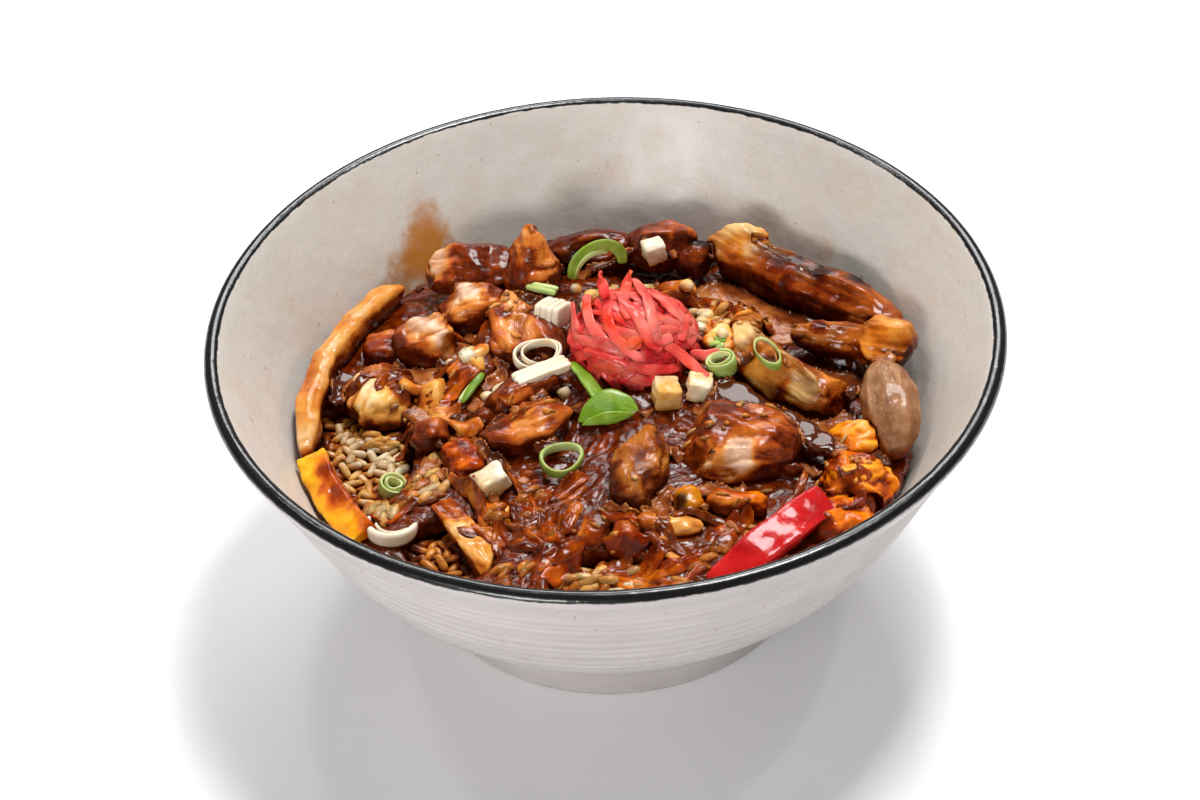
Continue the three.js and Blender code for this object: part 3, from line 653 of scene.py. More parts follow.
@dataclass
class Topping:
    """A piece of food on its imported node: refined, given its own unevenness, and sauced."""

    node: str
    finish: FoodFinish
    heading: float = 0.0
    layers: tuple[Unevenness, ...] = ()
    patches: tuple[Patch, ...] = ()
    sauce: float = 0.25
    cell: float = 0.5
    smoothing: int = 4
    swell: float = 0.1
    round: float = 0.0
    variety: float = 0.42
    cuts: int = 0
    flats: tuple[Spot, ...] = ()
    bend: float = 1.5

    def carved(self, points: Array) -> Array:
        """Returns the places after the piece is cut flat on some sides and pushed out of true.

        Args:
            points: Places about the piece's middle, in millimetres.

        Returns:
            The new places.
        """
        seed = float(np.ptp(points[:, 0])) * 3.7 + self.heading
        for number in range(self.cuts):
            around, height = 2 * math.pi * chance(number, seed), 0.95 * chance(number, seed + 1) - 0.12
            flat = math.sqrt(1 - height * height)
            out = np.array([flat * math.cos(around), flat * math.sin(around), height])
            reach = points @ out
            over = reach - reach.max() * (0.72 + 0.2 * chance(number, seed + 2))
            points = points - np.clip(over + 0.15, 0, None)[:, None] * 0.9 * out
        for x, y, z, share in self.flats:
            out = np.array([x, y, z]) / math.sqrt(x * x + y * y + z * z)
            reach = points @ out
            points = points - np.clip(reach - reach.max() * share, 0, None)[:, None] * 0.85 * out
        shift = np.stack([layered_noise(points, 8, seed + number, 2) for number in (1.0, 2.0, 3.0)], axis=1)
        return points + self.bend * shift

    def refined(self) -> Piece:
        """Copies the node in even cells, with its facets smoothed away.

        Returns:
            The copy.
        """
        shape = bmesh.new()
        shape.from_mesh(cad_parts[self.node].data)
        bmesh.ops.remove_doubles(shape, verts=shape.verts, dist=1e-6)
        mesh = bpy.data.meshes.new(self.node + "_dressed")
        shape.to_mesh(mesh)
        shape.free()
        piece = object_of(self.node + "_dressed", mesh)
        remesh = piece.modifiers.new("cells", "REMESH")
        remesh.mode = "VOXEL"
        remesh.voxel_size = self.cell * MM
        soften = piece.modifiers.new("soften", "SMOOTH")
        soften.factor = 0.5
        soften.iterations = self.smoothing
        bake(piece)
        return piece

    def relief(self, lie: Array) -> tuple[Array, Array]:
        """Returns how far each place moves out, and its tone from 0 to 1.

        Args:
            lie: Places in the piece's own frame, in millimetres.

        Returns:
            The rise and the tone.
        """
        bent = warped(lie, 5, 0.9)
        rise = sum((layer.rise(bent) for layer in self.layers), np.zeros(len(lie)))
        tone = 0.5 + 0.5 * layered_noise(lie, 6, 14.0)
        return rise, tone

    def seep(self, points: Array, foot: Array) -> Array:
        """Returns the extra sauce at each place: here where the piece stands in it, which also paints shade
        on its lower part.
        """
        del points
        return 0.3 * foot * (self.sauce > -0.2)

    def make(self) -> Piece:
        """Builds and publishes the piece.

        Returns:
            The finished piece.
        """
        piece = self.refined()
        mesh = piece.data
        points, normals = read_points(mesh), read_normals(mesh)
        middle = self.middle = (points.min(0) + points.max(0)) / 2
        turn = math.radians(self.heading)
        spin = np.array([[math.cos(turn), math.sin(turn), 0], [-math.sin(turn), math.cos(turn), 0],
                         [0, 0, 1]])
        if self.cuts or self.flats or self.bend:
            points = middle + self.carved(points - middle)
            write_points(mesh, points)
            normals = read_normals(mesh)
        lie = (points - middle) @ spin.T
        if self.round:
            angle = np.arctan2(points[:, 1], points[:, 0])
            lie = np.stack([angle * self.round, np.hypot(points[:, 0], points[:, 1]) - self.round,
                            points[:, 2]], axis=1)
        rise, tone = self.relief(lie)
        covers = {mark: np.zeros(len(points)) for mark in Mark}
        for patch in self.patches:
            covers[patch.mark] = np.maximum(covers[patch.mark], patch.cover(points))
        # Valleys of the relief gather a little more sauce, and also carry painted shade (crease) that darkens
        # them
        low = smooth_step(0.0, 1.0, -rise / max(0.3, np.abs(rise).max()))
        # The lower half of the piece gets extra sauce, which is also painted shade at its foot
        foot = smooth_step(0.5, 0.05, (points[:, 2] - points[:, 2].min()) / float(np.ptp(points[:, 2])))
        sauce = self.sauce + self.variety * layered_noise(points, 10, 3.1, 2) + 0.2 * low
        sauce = sauce + self.seep(points, foot)
        edge = 0.1 * layered_noise(points, 4, 8.2, 2) * (covers[Mark.SAUCE] > 0.05)
        sauce = np.maximum(sauce, covers[Mark.SAUCE] + edge) - covers[Mark.BARE]
        pool = covers[Mark.POOL]
        sauce = np.clip(np.maximum(sauce, 0.92 * pool), 0, 0.92)
        calm = (1 - 0.6 * smooth_step(0.55, 0.9, sauce)) * (1 - pool)
        film = 0.25 * smooth_step(0.42, 0.62, sauce)
        write_points(mesh, points + normals * (rise * calm + film + self.swell)[:, None])
        # crease is painted shade in the valleys of the relief
        for name, values in (("lie", lie), ("sauce", sauce), ("accent", covers[Mark.ACCENT]),
                             ("tint", covers[Mark.TINT]), ("crease", low * calm), ("tone", tone)):
            store(mesh, name, values)
        publish(piece, self.finish, self.node)
        return piece


class Footprint:
    """Where pieces stand on the bed, seen from above, with soft edges: it places the sauce and the painted
    contact shade around them.
    """

    span: int = 220
    softness: int = 7

    def __init__(self, nodes: Sequence[str]) -> None:
        """Draws the pieces' outlines on a grid of millimetres.

        Args:
            nodes: The pieces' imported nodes.
        """
        grid = np.zeros((self.span, self.span))
        shares = [(a / 4, b / 4) for a in range(5) for b in range(5 - a)]
        for node in nodes:
            for spots in places_on(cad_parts[node].data, shares):
                grid[self.cell(spots)] = 1
        kernel = np.ones(self.softness) / self.softness
        for axis in (0, 1, 0, 1):
            grid = np.apply_along_axis(np.convolve, axis, grid, kernel, "same")
        self.grid = grid

    def cell(self, points: Array) -> tuple[Array, Array]:
        """Returns the grid cells that hold some places."""
        place = np.clip(np.round(points[:, :2] + self.span // 2).astype(int), 0, self.span - 1)
        return place[:, 0], place[:, 1]

    def at(self, points: Array) -> Array:
        """Returns how much of a piece is near each place, from 0 to 1."""
        return self.grid[self.cell(points)]


@dataclass
class EggBed(Topping):
    """The bed of soft egg and onion: patches of shreds that lie this way and that, with sauce between."""

    patch_size: float = 11.0
    shred: Place = (11.0, 2.9)
    pockets: tuple[tuple[Place, Place, float], ...] = (
        ((-68, -12), (13, 18), 2.2), ((-42, -49), (9, 8), 2.2), ((-3, -62), (9, 5), 1.3),
    )

    def seep(self, points: Array, foot: Array) -> Array:
        """Returns the extra sauce at each place: here around the pieces that stand on the bed, which also
        paints their contact shade.

        Args:
            points: Places in millimetres.
            foot: Not used.

        Returns:
            The extra sauce.
        """
        del foot
        standing = [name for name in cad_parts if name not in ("bowl", "rice", "egg_bed")]
        # Sauce and painted contact shade around the pieces that stand on the bed
        return 0.55 * Footprint(standing).at(points)

    def relief(self, lie: Array) -> tuple[Array, Array]:
        """Returns how far each place moves out, and its tone from 0 to 1.

        Args:
            lie: Places in the bed's own frame, in millimetres.

        Returns:
            The rise and the tone.
        """
        bent = warped(lie, 6, 2.2)
        flat = np.stack([bent[:, 0], bent[:, 1], np.full(len(lie), 0.5)], axis=1)
        flat = flat / np.array([self.patch_size] * 2 + [1])
        edge, owner = cells(flat, 2.0)
        angle = 2 * math.pi * fraction(owner * 7.31)
        along = bent[:, 0] * np.cos(angle) + bent[:, 1] * np.sin(angle)
        across = -bent[:, 0] * np.sin(angle) + bent[:, 1] * np.cos(angle)
        strip = np.stack([along / self.shred[0], across / self.shred[1], owner * 50], axis=1)
        inner, number = cells(strip, 5.0)
        step, dome = 1.7 * (fraction(owner * 3.7) - 0.65), 1.3 * (smooth_step(0, 0.35, inner) - 0.8)
        rise = step + dome + 0.9 * (number - 0.5)
        rise = rise * smooth_step(0, 0.1, edge) - 0.7 * smooth_step(0.12, 0, edge)
        rise += 0.18 * layered_noise(lie, 1.9, 23.0, 2)
        for (x, y), (a, b), depth in self.pockets:
            apart = np.hypot((lie[:, 0] + self.middle[0] - x) / a, (lie[:, 1] + self.middle[1] - y) / b)
            rise -= depth * smooth_step(1.75, 1.0, apart)
        tone = fraction(owner * 11.3) * 0.75 + 0.25 * number
        return rise, tone


@dataclass(frozen=True)
class GlazeFinish:
    """The bowl's glaze: pale and mottled, with a near-black rim."""

    slot: str = "bowl_glaze"
    inside: Colour = linear("cfcac3")
    outside: Colour = linear("b7b0ae")
    rim: Colour = linear("110f11")
    sauce: Colour = linear("b06f28")
    # The sauce stain low on the left wall, then fainter brown patches higher at the back and on the right
    stains: tuple[tuple[Point, float, float], ...] = (
        ((-47, 71, 67), 8, 0.4), ((-47, 70, 62), 10, 0.7), ((-46, 66.8, 57.5), 11, 0.95),
        ((-50, 62, 54.5), 11, 0.9), ((-54, 57, 53), 9, 0.7), ((-41, 67, 54), 8, 0.6), ((3, 84, 69), 10, 0.3),
        ((58, 56, 60), 8, 0.6), ((-12, 83, 66), 5, 0.15),
    )

    def material(self) -> bpy.types.Material:
        """Builds the glaze's material.

        Returns:
            The material.
        """
        recipe = Recipe("bowl_glaze")
        place, along = recipe.where(), recipe.layer("along")
        threads = ((3.2, 3.2, 0.5), (0.5, 0.5, 4.0))
        weave = [recipe.noise(recipe.stretch(place, sizes), 1.0, 2) for sizes in threads]
        linen = recipe.sums("MULTIPLY", recipe.sums("ADD", *weave), 0.5)
        cloud = recipe.noise(place, 14, 4)
        inner = recipe.blend(recipe.between(linen, 0.35, 0.65, (0, 0.35)), self.inside, linear("bdb1a3"))
        inner = recipe.blend(recipe.between(cloud, 0.45, 0.75, (0, 0.35)), inner, linear("c8b59b"))
        inner = self.stained(recipe, place, inner)
        outer = recipe.blend(recipe.between(cloud, 0.35, 0.7, (0, 0.4)), self.outside, linear("a8a1a0"))
        rings = recipe.noise(recipe.stretch(place, (60, 60, 0.7)), 1.0, 3)
        outer = recipe.blend(recipe.between(rings, 0.4, 0.7, (0, 0.3)), outer, linear("928b8a"))
        specks = recipe.between(recipe.noise(place, 1.5, 1, 0.2), 0.775, 0.8)
        colour = recipe.blend(recipe.between(along, -0.4, 0.4), inner, outer)
        colour = recipe.blend(recipe.sums("MULTIPLY", specks, 0.5), colour, linear("9a6a3c"))
        ragged = recipe.sums("ADD", along, recipe.between(recipe.noise(place, 3, 4), 0.2, 0.8, (-0.22, 0.22)))
        band = recipe.sums("MULTIPLY", recipe.between(ragged, -2.9, -2.5), recipe.between(ragged, 2.05, 1.75))
        colour = recipe.blend(band, colour, self.rim)
        shine = recipe.sums("MULTIPLY", band, 0.22)
        roughness = recipe.sums("SUBTRACT", recipe.between(cloud, 0.3, 0.7, (0.36, 0.46)), shine)
        relief = recipe.bump(recipe.noise(place, 11, 4, 0.45), 0.55, recipe.bump(linen, 0.04))
        return recipe.finish(Base_Color=colour, Roughness=roughness, Normal=relief, Coat_Weight=0.15,
                             Coat_Roughness=0.3, Coat_IOR=1.45, IOR=1.45)

    def stained(self, recipe: Recipe, place: object, colour: object) -> object:
        """Returns the inner glaze with the sauce stain low on the left wall and fainter brown patches at the
        back and on the right.

        Args:
            recipe: The material's recipe.
            place: The place in millimetres.
            colour: The clean glaze.

        Returns:
            The stained colour's socket.
        """
        for at, radius, amount in self.stains:
            apart = recipe.make("VectorMath", {0: place, 1: at}, operation="DISTANCE").outputs["Value"]
            wavy = recipe.sums("ADD", apart, recipe.between(recipe.noise(place, 5, 3), 0, 1, (-3, 3)))
            cover = recipe.between(wavy, radius, 0.45 * radius, (0, amount))
            colour = recipe.blend(cover, colour, self.sauce)
        return colour


@dataclass
class StonewareBowl:
    """The ribbed bowl on its turned foot."""

    rim_radius: float = 102.5
    height: float = 83.25
    wall: float = 4.2
    foot_radius: float = 53.2
    foot_height: float = 9.5
    foot_wall: float = 5.6
    floor_level: float = 12.2
    shoulder_out: Place = (89.0, 43.3)
    shoulder_in: Place = (77.9, 34.2)
    grooves: tuple[float, ...] = (0.389, 0.5, 0.581, 0.65, 0.71, 0.765, 0.817, 0.853, 0.885, 0.915, 0.942,
                                  0.967)
    groove_depth: float = 0.95
    sides: int = 256
    finish: GlazeFinish = field(default_factory=GlazeFinish)

    def side(self, share: float, inset: float) -> Array:
        """Finds a point of the body's side.

        Args:
            share: From the foot at 0 to the rim at 1.
            inset: How far it is moved inwards, in millimetres.

        Returns:
            Its distance from the axis and its height.
        """
        lip = self.lip()
        low = ((self.foot_radius, self.foot_height), self.shoulder_out, self.shoulder_in)
        ends = [*(np.array(point) for point in low), lip[0] + lip[1] * self.wall / 2]
        rest = 1 - share
        weights = (rest**3, 3 * rest**2 * share, 3 * rest * share**2, share**3)
        slopes = (-3 * rest**2, 3 * rest * (1 - 3 * share), 3 * share * (2 - 3 * share), 3 * share**2)
        tangent = sum(slope * end for slope, end in zip(slopes, ends))
        tangent /= np.linalg.norm(tangent)
        inwards = np.array([-tangent[1], tangent[0]])
        return sum(weight * end for weight, end in zip(weights, ends)) + inset * inwards

    def lip(self) -> tuple[Array, Array, Array]:
        """Finds how the rim lies.

        Returns:
            Its centre, its outward direction and its upward direction.
        """
        centre = np.array([self.rim_radius - self.wall / 2, self.height - self.wall / 2])
        upward = centre - np.array(self.shoulder_in)
        upward /= np.linalg.norm(upward)
        return centre, np.array([upward[1], -upward[0]]), upward

    def profile(self) -> tuple[list[Array], list[float]]:
        """Draws the section from the underside to the floor.

        Returns:
            Its points, and how far each is past the lip.
        """
        inner_foot = self.foot_radius - self.foot_wall
        foot = [(0, 6.2), (inner_foot - 1.2, 6.2), (inner_foot - 0.4, 5.4), (inner_foot + 0.2, 0.5),
                (inner_foot + 0.8, 0), (self.foot_radius - 1.6, 0), (self.foot_radius - 0.8, 0.4),
                (self.foot_radius - 0.4, 1.4), (self.foot_radius - 0.2, 5), (self.foot_radius - 0.35, 8.6)]
        points = [np.array(point, float) for point in foot]
        for step in range(131):
            share = step / 130
            depth = sum(math.exp(-(((share - groove) / 0.0085) ** 2)) for groove in self.grooves)
            swell = 0.25 * math.sin(share * 55) * smooth_step(0.3, 0.5, np.array(share))
            fade = float(smooth_step(0.99, 0.955, np.array(share)))
            points.append(self.side(share, max(0.0, self.groove_depth * depth * fade + 0.12 - 0.12 * swell)))
        centre, outward, upward = self.lip()
        for step in range(1, 12):
            turn = math.pi * step / 12
            points.append(centre + (outward * math.cos(turn) + upward * math.sin(turn)) * self.wall / 2)
        top = len(points) - 6
        points += [self.side(1 - step / 46, self.wall) for step in range(43)]
        points += [np.array([points[-1][0] * share, self.floor_level]) for share in (0.9, 0.5, 0.0)]
        lengths = [0.0]
        for before, after in zip(points, points[1:]):
            lengths.append(lengths[-1] + float(np.linalg.norm(after - before)))
        return points, [lengths[top] - length for length in lengths]

    def make(self) -> Piece:
        """Spins the section into the bowl and dresses it.

        Returns:
            The finished bowl.
        """
        points, along = self.profile()
        shape = bmesh.new()
        layer = shape.verts.layers.float.new("along")
        verts = []
        for point, value in zip(points, along):
            verts.append(shape.verts.new((point[0], 0, point[1])))
            verts[-1][layer] = value
        edges = [shape.edges.new(pair) for pair in zip(verts, verts[1:])]
        bmesh.ops.spin(shape, geom=verts + edges, cent=(0, 0, 0), axis=(0, 0, 1), angle=2 * math.pi,
                       steps=self.sides, use_merge=True)
        bmesh.ops.remove_doubles(shape, verts=shape.verts, dist=1e-3)
        bmesh.ops.recalc_face_normals(shape, faces=shape.faces)
        piece = object_of("bowl_dressed", mesh_of("bowl_dressed", shape))
        mesh = piece.data
        places = read_points(mesh)
        outer = places[:, 2] > 11
        throw = 0.07 * layered_noise(places / np.array([26, 26, 2.4]), 1.0, 12.0, 2) * outer
        across = np.hypot(places[:, 0], places[:, 1])
        shrink = 1 - np.clip(throw, 0, None) / np.maximum(across, 1)
        places[:, :2] *= np.where(across > 60, shrink, 1)[:, None]
        write_points(mesh, places)
        publish(piece, self.finish, "bowl")
        return piece


# The rice heap's level at its edge, the rise to its middle and its radius
RICE_LEVEL, RICE_CROWN, RICE_REACH = 44.6, 2.2, 80.0


class Ground:
    """How high the food reaches, seen from above, on a fine grid, and what lies on top at each place."""

    step: float = 0.5
    reach: float = 84.0
    samples: tuple[Place, ...] = ((1, 0), (0, 1), (0, 0), (0.5, 0.5), (0.5, 0), (0, 0.5), (0.33, 0.33))

    def __init__(self, pieces: Sequence[Piece]) -> None:
        """Takes in the finished pieces.

        Args:
            pieces: The pieces that later ones can lie on.
        """
        self.count = int(2 * self.reach / self.step) + 1
        ticks = np.arange(self.count) * self.step - self.reach
        self.x, self.y = np.meshgrid(ticks, ticks, indexing="ij")
        self.names = [""] + [piece.name for piece in pieces]
        self.owner = np.zeros((self.count, self.count), int)
        self.height = RICE_LEVEL + RICE_CROWN * (1 - (self.x**2 + self.y**2) / RICE_REACH**2)
        for number, piece in enumerate(pieces, 1):
            self.lay(piece, number)
        self.envelope = self.rolled(3.0)

    def lay(self, piece: Piece, number: int) -> None:
        """Draws one piece on the grid.

        Args:
            piece: The piece.
            number: Its place in the list of names.
        """
        own = np.full(self.height.shape, -1.0)
        for spots in places_on(piece.data, self.samples):
            np.maximum.at(own, self.cell(spots), spots[:, 2])
        own = np.where(own < 0, np.maximum.reduce(beside(own)), own)
        above = own > self.height
        self.height[above] = own[above]
        self.owner[above] = number

    def rolled(self, radius: float) -> Array:
        """Returns the surface that a ball touches when it is rolled over the food.

        Args:
            radius: The ball's radius in millimetres.

        Returns:
            The height at each place of the grid.
        """
        span = int(radius / self.step)
        ticks = range(-span, span + 1)
        shifts = [(a, b) for a in ticks for b in ticks if math.hypot(a, b) <= span]
        drops = [radius - math.sqrt(radius**2 - (math.hypot(a, b) * self.step) ** 2) for a, b in shifts]
        over, under = np.full(self.height.shape, -1.0), np.full(self.height.shape, 999.0)
        for (a, b), drop in zip(shifts, drops):
            over = np.maximum(over, np.roll(self.height, (a, b), (0, 1)) - drop)
        for (a, b), drop in zip(shifts, drops):
            under = np.minimum(under, np.roll(over, (a, b), (0, 1)) + drop)
        return under

    def cell(self, points: Array) -> tuple[Array, Array]:
        """Returns the grid cells that hold some places."""
        place = np.clip(np.round((points[:, :2] + self.reach) / self.step).astype(int), 0, self.count - 1)
        return place[:, 0], place[:, 1]

    def top(self, x: float, y: float) -> tuple[float, Vector, str]:
        """Finds what lies at a place, seen from above.

        Args:
            x: The place in millimetres.
            y: The same.

        Returns:
            Its height, its normal and its name.
        """
        i, j = (min(max(int(round((value + self.reach) / self.step)), 2), self.count - 3) for value in (x, y))
        level, span = self.height, 4 * self.step
        fall = (float(level[i - 2, j] - level[i + 2, j]) / span,
                float(level[i, j - 2] - level[i, j + 2]) / span)
        return float(level[i, j]), Vector((*fall, 1)).normalized(), self.names[self.owner[i, j]]


def beside(values: Array) -> list[Array]:
    """Returns four copies of a grid, each shifted by one cell."""
    return [np.roll(values, shift, axis) for axis in (0, 1) for shift in (-1, 1)]


def spread_out(values: Array, times: int) -> Array:
    """Blurs a grid of values.

    Args:
        values: The grid.
        times: How often it is blurred.

    Returns:
        The blurred grid.
    """
    for _ in range(times):
        for axis in (0, 1):
            values = 0.5 * values + 0.25 * (np.roll(values, 1, axis) + np.roll(values, -1, axis))
    return values


def soak(piece: Piece, ground: Ground) -> None:
    """Lets the sauce gather in the hollows of a piece and in the gaps beside it, and paints shade there:
    places below the rolled surface over the food turn darker.

    Args:
        piece: A finished piece of food.
        ground: The heights of all the food.
    """
    points = read_points(piece.data)
    depth = ground.envelope[ground.cell(points)] - points[:, 2]
    values = read_values(piece.data, "sauce")
    thirst = smooth_step(-0.35, 0.15, values)
    # Painted shade: the deeper a place lies below the rolled surface, the more sauce darkens it
    values = values + thirst * (0.45 * smooth_step(0.1, 1.8, depth) + 0.1)
    store(piece.data, "sauce", np.clip(values, 0, 0.95))


@dataclass(frozen=True)
class SauceFinish:
    """The look of the thick dark sauce: red-brown where it is thin and nearly black where it is deep."""

    slot: str = "sauce_bed"
    colours: tuple[Colour, ...] = ((0.4, 0.14, 0.035), (0.26, 0.065, 0.012), (0.13, 0.025, 0.005),
                                   (0.055, 0.011, 0.003))

    def material(self) -> bpy.types.Material:
        """Builds the sauce's material.

        Returns:
            The material.
        """
        recipe = Recipe("thick_sauce")
        place = recipe.where()
        wave = recipe.between(recipe.noise(place, 3, 2), 0.25, 0.75, (-0.14, 0.14))
        colour = recipe.ramp(recipe.sums("ADD", recipe.layer("sauce"), wave), self.colours)
        calm = recipe.between(recipe.layer("sauce"), 0.55, 1.0, (1, 0.15))
        ripple = recipe.sums("MULTIPLY", recipe.noise(place, 2.2, 3), calm)
        return recipe.finish(Base_Color=colour, Roughness=0.08, IOR=1.42, Specular_IOR_Level=0.26,
                             Normal=recipe.bump(ripple, 0.28))


@dataclass
class SauceFilm:
    """The sauce that stands between the pieces and in shallow pools, with soft hollow edges."""

    finish: SauceFinish = SauceFinish()
    drop: float = 1.15
    radius: float = 76.0
    steepest: float = 1.1
    thinnest: float = 0.12
    darkest: float = 2.2
    thickness: float = 0.9
    pools: tuple[Spot, ...] = ((24.6, 6.3, 59.2, 4), (29, 2, 59.3, 5), (33, -2.5, 59.3, 5.5),
                               (36, -7, 59.3, 5.5), (40, -11, 59.2, 5.5), (45, -14, 59, 5),
                               (49.5, -18, 58.7, 5), (54, -22, 58.3, 4.5), (58, -24, 57.8, 4))
    dry: tuple[Point, ...] = ((-68, -12, 17), (-60, -26, 8), (-42, -49, 9), (-3, -62, 13), (8, 18, 21),
                              (-22, -62, 15), (18, -60, 14), (46, -44, 13), (-42, -36, 9), (-60, 45, 11),
                              (-64, 30, 9), (-56, -40, 9))

    def level(self, ground: Ground) -> Array:
        """Finds the sauce's height.

        Args:
            ground: The heights of all the food.

        Returns:
            A height for each place of the ground's grid.
        """
        places = np.stack([ground.x.ravel(), ground.y.ravel(), np.zeros(ground.x.size)], axis=1)
        amount = layered_noise(places, 13, 41.0, 2).reshape(ground.x.shape)
        level = spread_out(ground.envelope, 2) - self.drop + 0.9 * amount
        for x, y, z, radius in self.pools:
            apart = np.hypot(ground.x - x, ground.y - y)
            level = np.maximum(level, z - 6 * smooth_step(0.7 * radius, 1.7 * radius, apart))
        for x, y, radius in self.dry:
            level = level - 9 * smooth_step(1.2 * radius, 0.9 * radius, np.hypot(ground.x - x, ground.y - y))
        return spread_out(level, 2)

    def make(self, ground: Ground) -> Piece:
        """Builds the film.

        Args:
            ground: The heights of all the food.

        Returns:
            The finished piece.
        """
        level = self.level(ground)
        steep = np.hypot(*np.gradient(level, ground.step)) > self.steepest
        wet = (level - ground.height > self.thinnest) & (np.hypot(ground.x, ground.y) < self.radius) & ~steep
        core = wet & np.logical_and.reduce(beside(wet))
        for _ in range(2):
            core = core | np.logical_or.reduce(beside(core))
        shape = bmesh.new()
        shape.verts.layers.float.new("sauce")
        bmesh.ops.create_grid(shape, x_segments=ground.count - 1, y_segments=ground.count - 1,
                              size=ground.reach)
        depth = shape.verts.layers.float["sauce"]
        gone = []
        over = level - ground.height
        for vert in shape.verts:
            i, j = (int(round((value + ground.reach) / ground.step)) for value in vert.co[:2])
            if not core[i, j]:
                gone.append(vert)
                continue
            vert.co.z = level[i, j]
            vert[depth] = min(1.0, max(0.0, over[i, j] / self.darkest))
        bmesh.ops.delete(shape, geom=gone, context="VERTS")
        bmesh.ops.delete(shape, geom=[vert for vert in shape.verts if not vert.link_faces], context="VERTS")
        bmesh.ops.solidify(shape, geom=shape.faces, thickness=self.thickness)
        bmesh.ops.recalc_face_normals(shape, faces=shape.faces)
        piece = object_of("sauce_film", mesh_of("sauce_film", shape))
        publish(piece, self.finish)
        return piece


def unit(vector: Array) -> Array:
    """Returns a vector's direction with a length of 1."""
    return vector / max(np.linalg.norm(vector), 1e-6)


def smooth_path(points: Sequence[Point], steps: int) -> Array:
    """Returns even points of a smooth curve through the given ones.

    Args:
        points: The points that the curve passes through.
        steps: How many points to return.

    Returns:
        The points of the curve.
    """
    knots = np.array([points[0], *points, points[-1]], float)
    out = []
    for share in np.linspace(0, len(points) - 1, steps):
        index = min(int(share), len(points) - 2)
        t = share - index
        a, b, c, d = knots[index : index + 4]
        out.append(0.5 * (2 * b + (c - a) * t + (2 * a - 5 * b + 4 * c - d) * t * t
                          + (3 * b - a - 3 * c + d) * t**3))
    return np.array(out)


@dataclass
class Strand:
    """A soft strip with a rounded section that follows a path."""

    path: Sequence[Point]
    width: float
    thickness: float
    up: Point = (0, 0, 1)
    taper: float = 0.5
    twist: float = 0.0
    steps: int = 18
    sides: int = 10
    squareness: float = 0.7
    sauce: float = 0.0
    accent: float = 0.0
    tone: float = 0.5
    rough: float = 0.0
    bluntness: float = 4.0

    def add(self, shape: Shape) -> None:
        """Adds the strand to a bmesh, with its own lengthways coordinates.

        Args:
            shape: The bmesh to add to, in millimetres.
        """
        ring = bmesh.ops.create_circle(shape, cap_ends=True, segments=self.sides, radius=0.6)["verts"]
        cap = ring[0].link_faces[0]
        verts = set(ring)
        edges = list(cap.edges)
        heights = [-1.0, *np.linspace(-0.985, 0.985, self.steps), 1.0]
        bmesh.ops.translate(shape, vec=(0, 0, -1), verts=ring)
        for before, height in zip(heights, heights[1:]):
            made = bmesh.ops.extrude_edge_only(shape, edges=edges)["geom"]
            ring = [item for item in made if isinstance(item, bmesh.types.BMVert)]
            edges = [item for item in made if isinstance(item, bmesh.types.BMEdge)]
            bmesh.ops.translate(shape, vec=(0, 0, height - before), verts=ring)
            wider = 1 / 0.6 if before == -1 else 0.6 if height == 1 else 1
            bmesh.ops.scale(shape, vec=(wider, wider, 1), verts=ring)
            verts |= set(ring)
        bmesh.ops.edgeloop_fill(shape, edges=edges)
        self.bend(shape, verts)

    def bend(self, shape: Shape, verts: set) -> None:
        """Lays a straight rod of unit radius along the path.

        Args:
            shape: The bmesh that holds it.
            verts: Its corners.
        """
        layer = shape.verts.layers.float_vector["lie"]
        marks = [(shape.verts.layers.float[name], getattr(self, name))
                 for name in ("sauce", "accent", "tone")]
        seed = sum(self.path[0])
        line = smooth_path(self.path, 41)
        tangents = np.gradient(line, axis=0)
        tangents /= np.maximum(np.linalg.norm(tangents, axis=1), 1e-6)[:, None]
        length = float(np.linalg.norm(np.diff(line, axis=0), axis=1).sum())
        for vert in verts:
            share = min(max((vert.co.z + 1) / 2, 0), 1)
            place = share * 40
            index = min(int(place), 39)
            mix = place - index
            at = line[index] * (1 - mix) + line[index + 1] * mix
            tangent = tangents[index] * (1 - mix) + tangents[index + 1] * mix
            side = unit(np.cross(np.array(self.up, float), tangent))
            top = unit(np.cross(tangent, side))
            out = abs(share - 0.5)
            end = 1 - self.taper * (2 * out) ** self.bluntness
            round_end = math.sqrt(max(0.0, 1 - max(0.0, (out - 0.47) / 0.03) ** 2 * 0.6))
            angle = math.atan2(vert.co.y, vert.co.x)
            reach = math.hypot(vert.co.x, vert.co.y) * end * round_end
            across, upward = (
                math.copysign(abs(value) ** self.squareness, value) * size / 2 * reach
                for value, size in ((math.cos(angle), self.width), (math.sin(angle), self.thickness))
            )
            if self.rough:
                run = share * length
                across += self.rough * math.sin(run * 1.3 + seed) * (0.5 + 0.5 * math.sin(run * 0.47 + seed))
                upward += 0.6 * self.rough * math.sin(run * 0.9 + 2 * seed + across)
            roll = math.radians(self.twist) * (share - 0.5)
            across, upward = (across * math.cos(roll) - upward * math.sin(roll),
                              across * math.sin(roll) + upward * math.cos(roll))
            vert.co = Vector(at + side * across + top * upward)
            vert[layer] = Vector((share * length, across, upward))
            for mark, value in marks:
                vert[mark] = value


def blank() -> Shape:
    """Starts a piece that is built from strips.

    Returns:
        An empty bmesh with the layers that the food's finishes read.
    """
    shape = bmesh.new()
    shape.verts.layers.float_vector.new("lie")
    for name in ("sauce", "accent", "tone"):
        shape.verts.layers.float.new(name)
    return shape


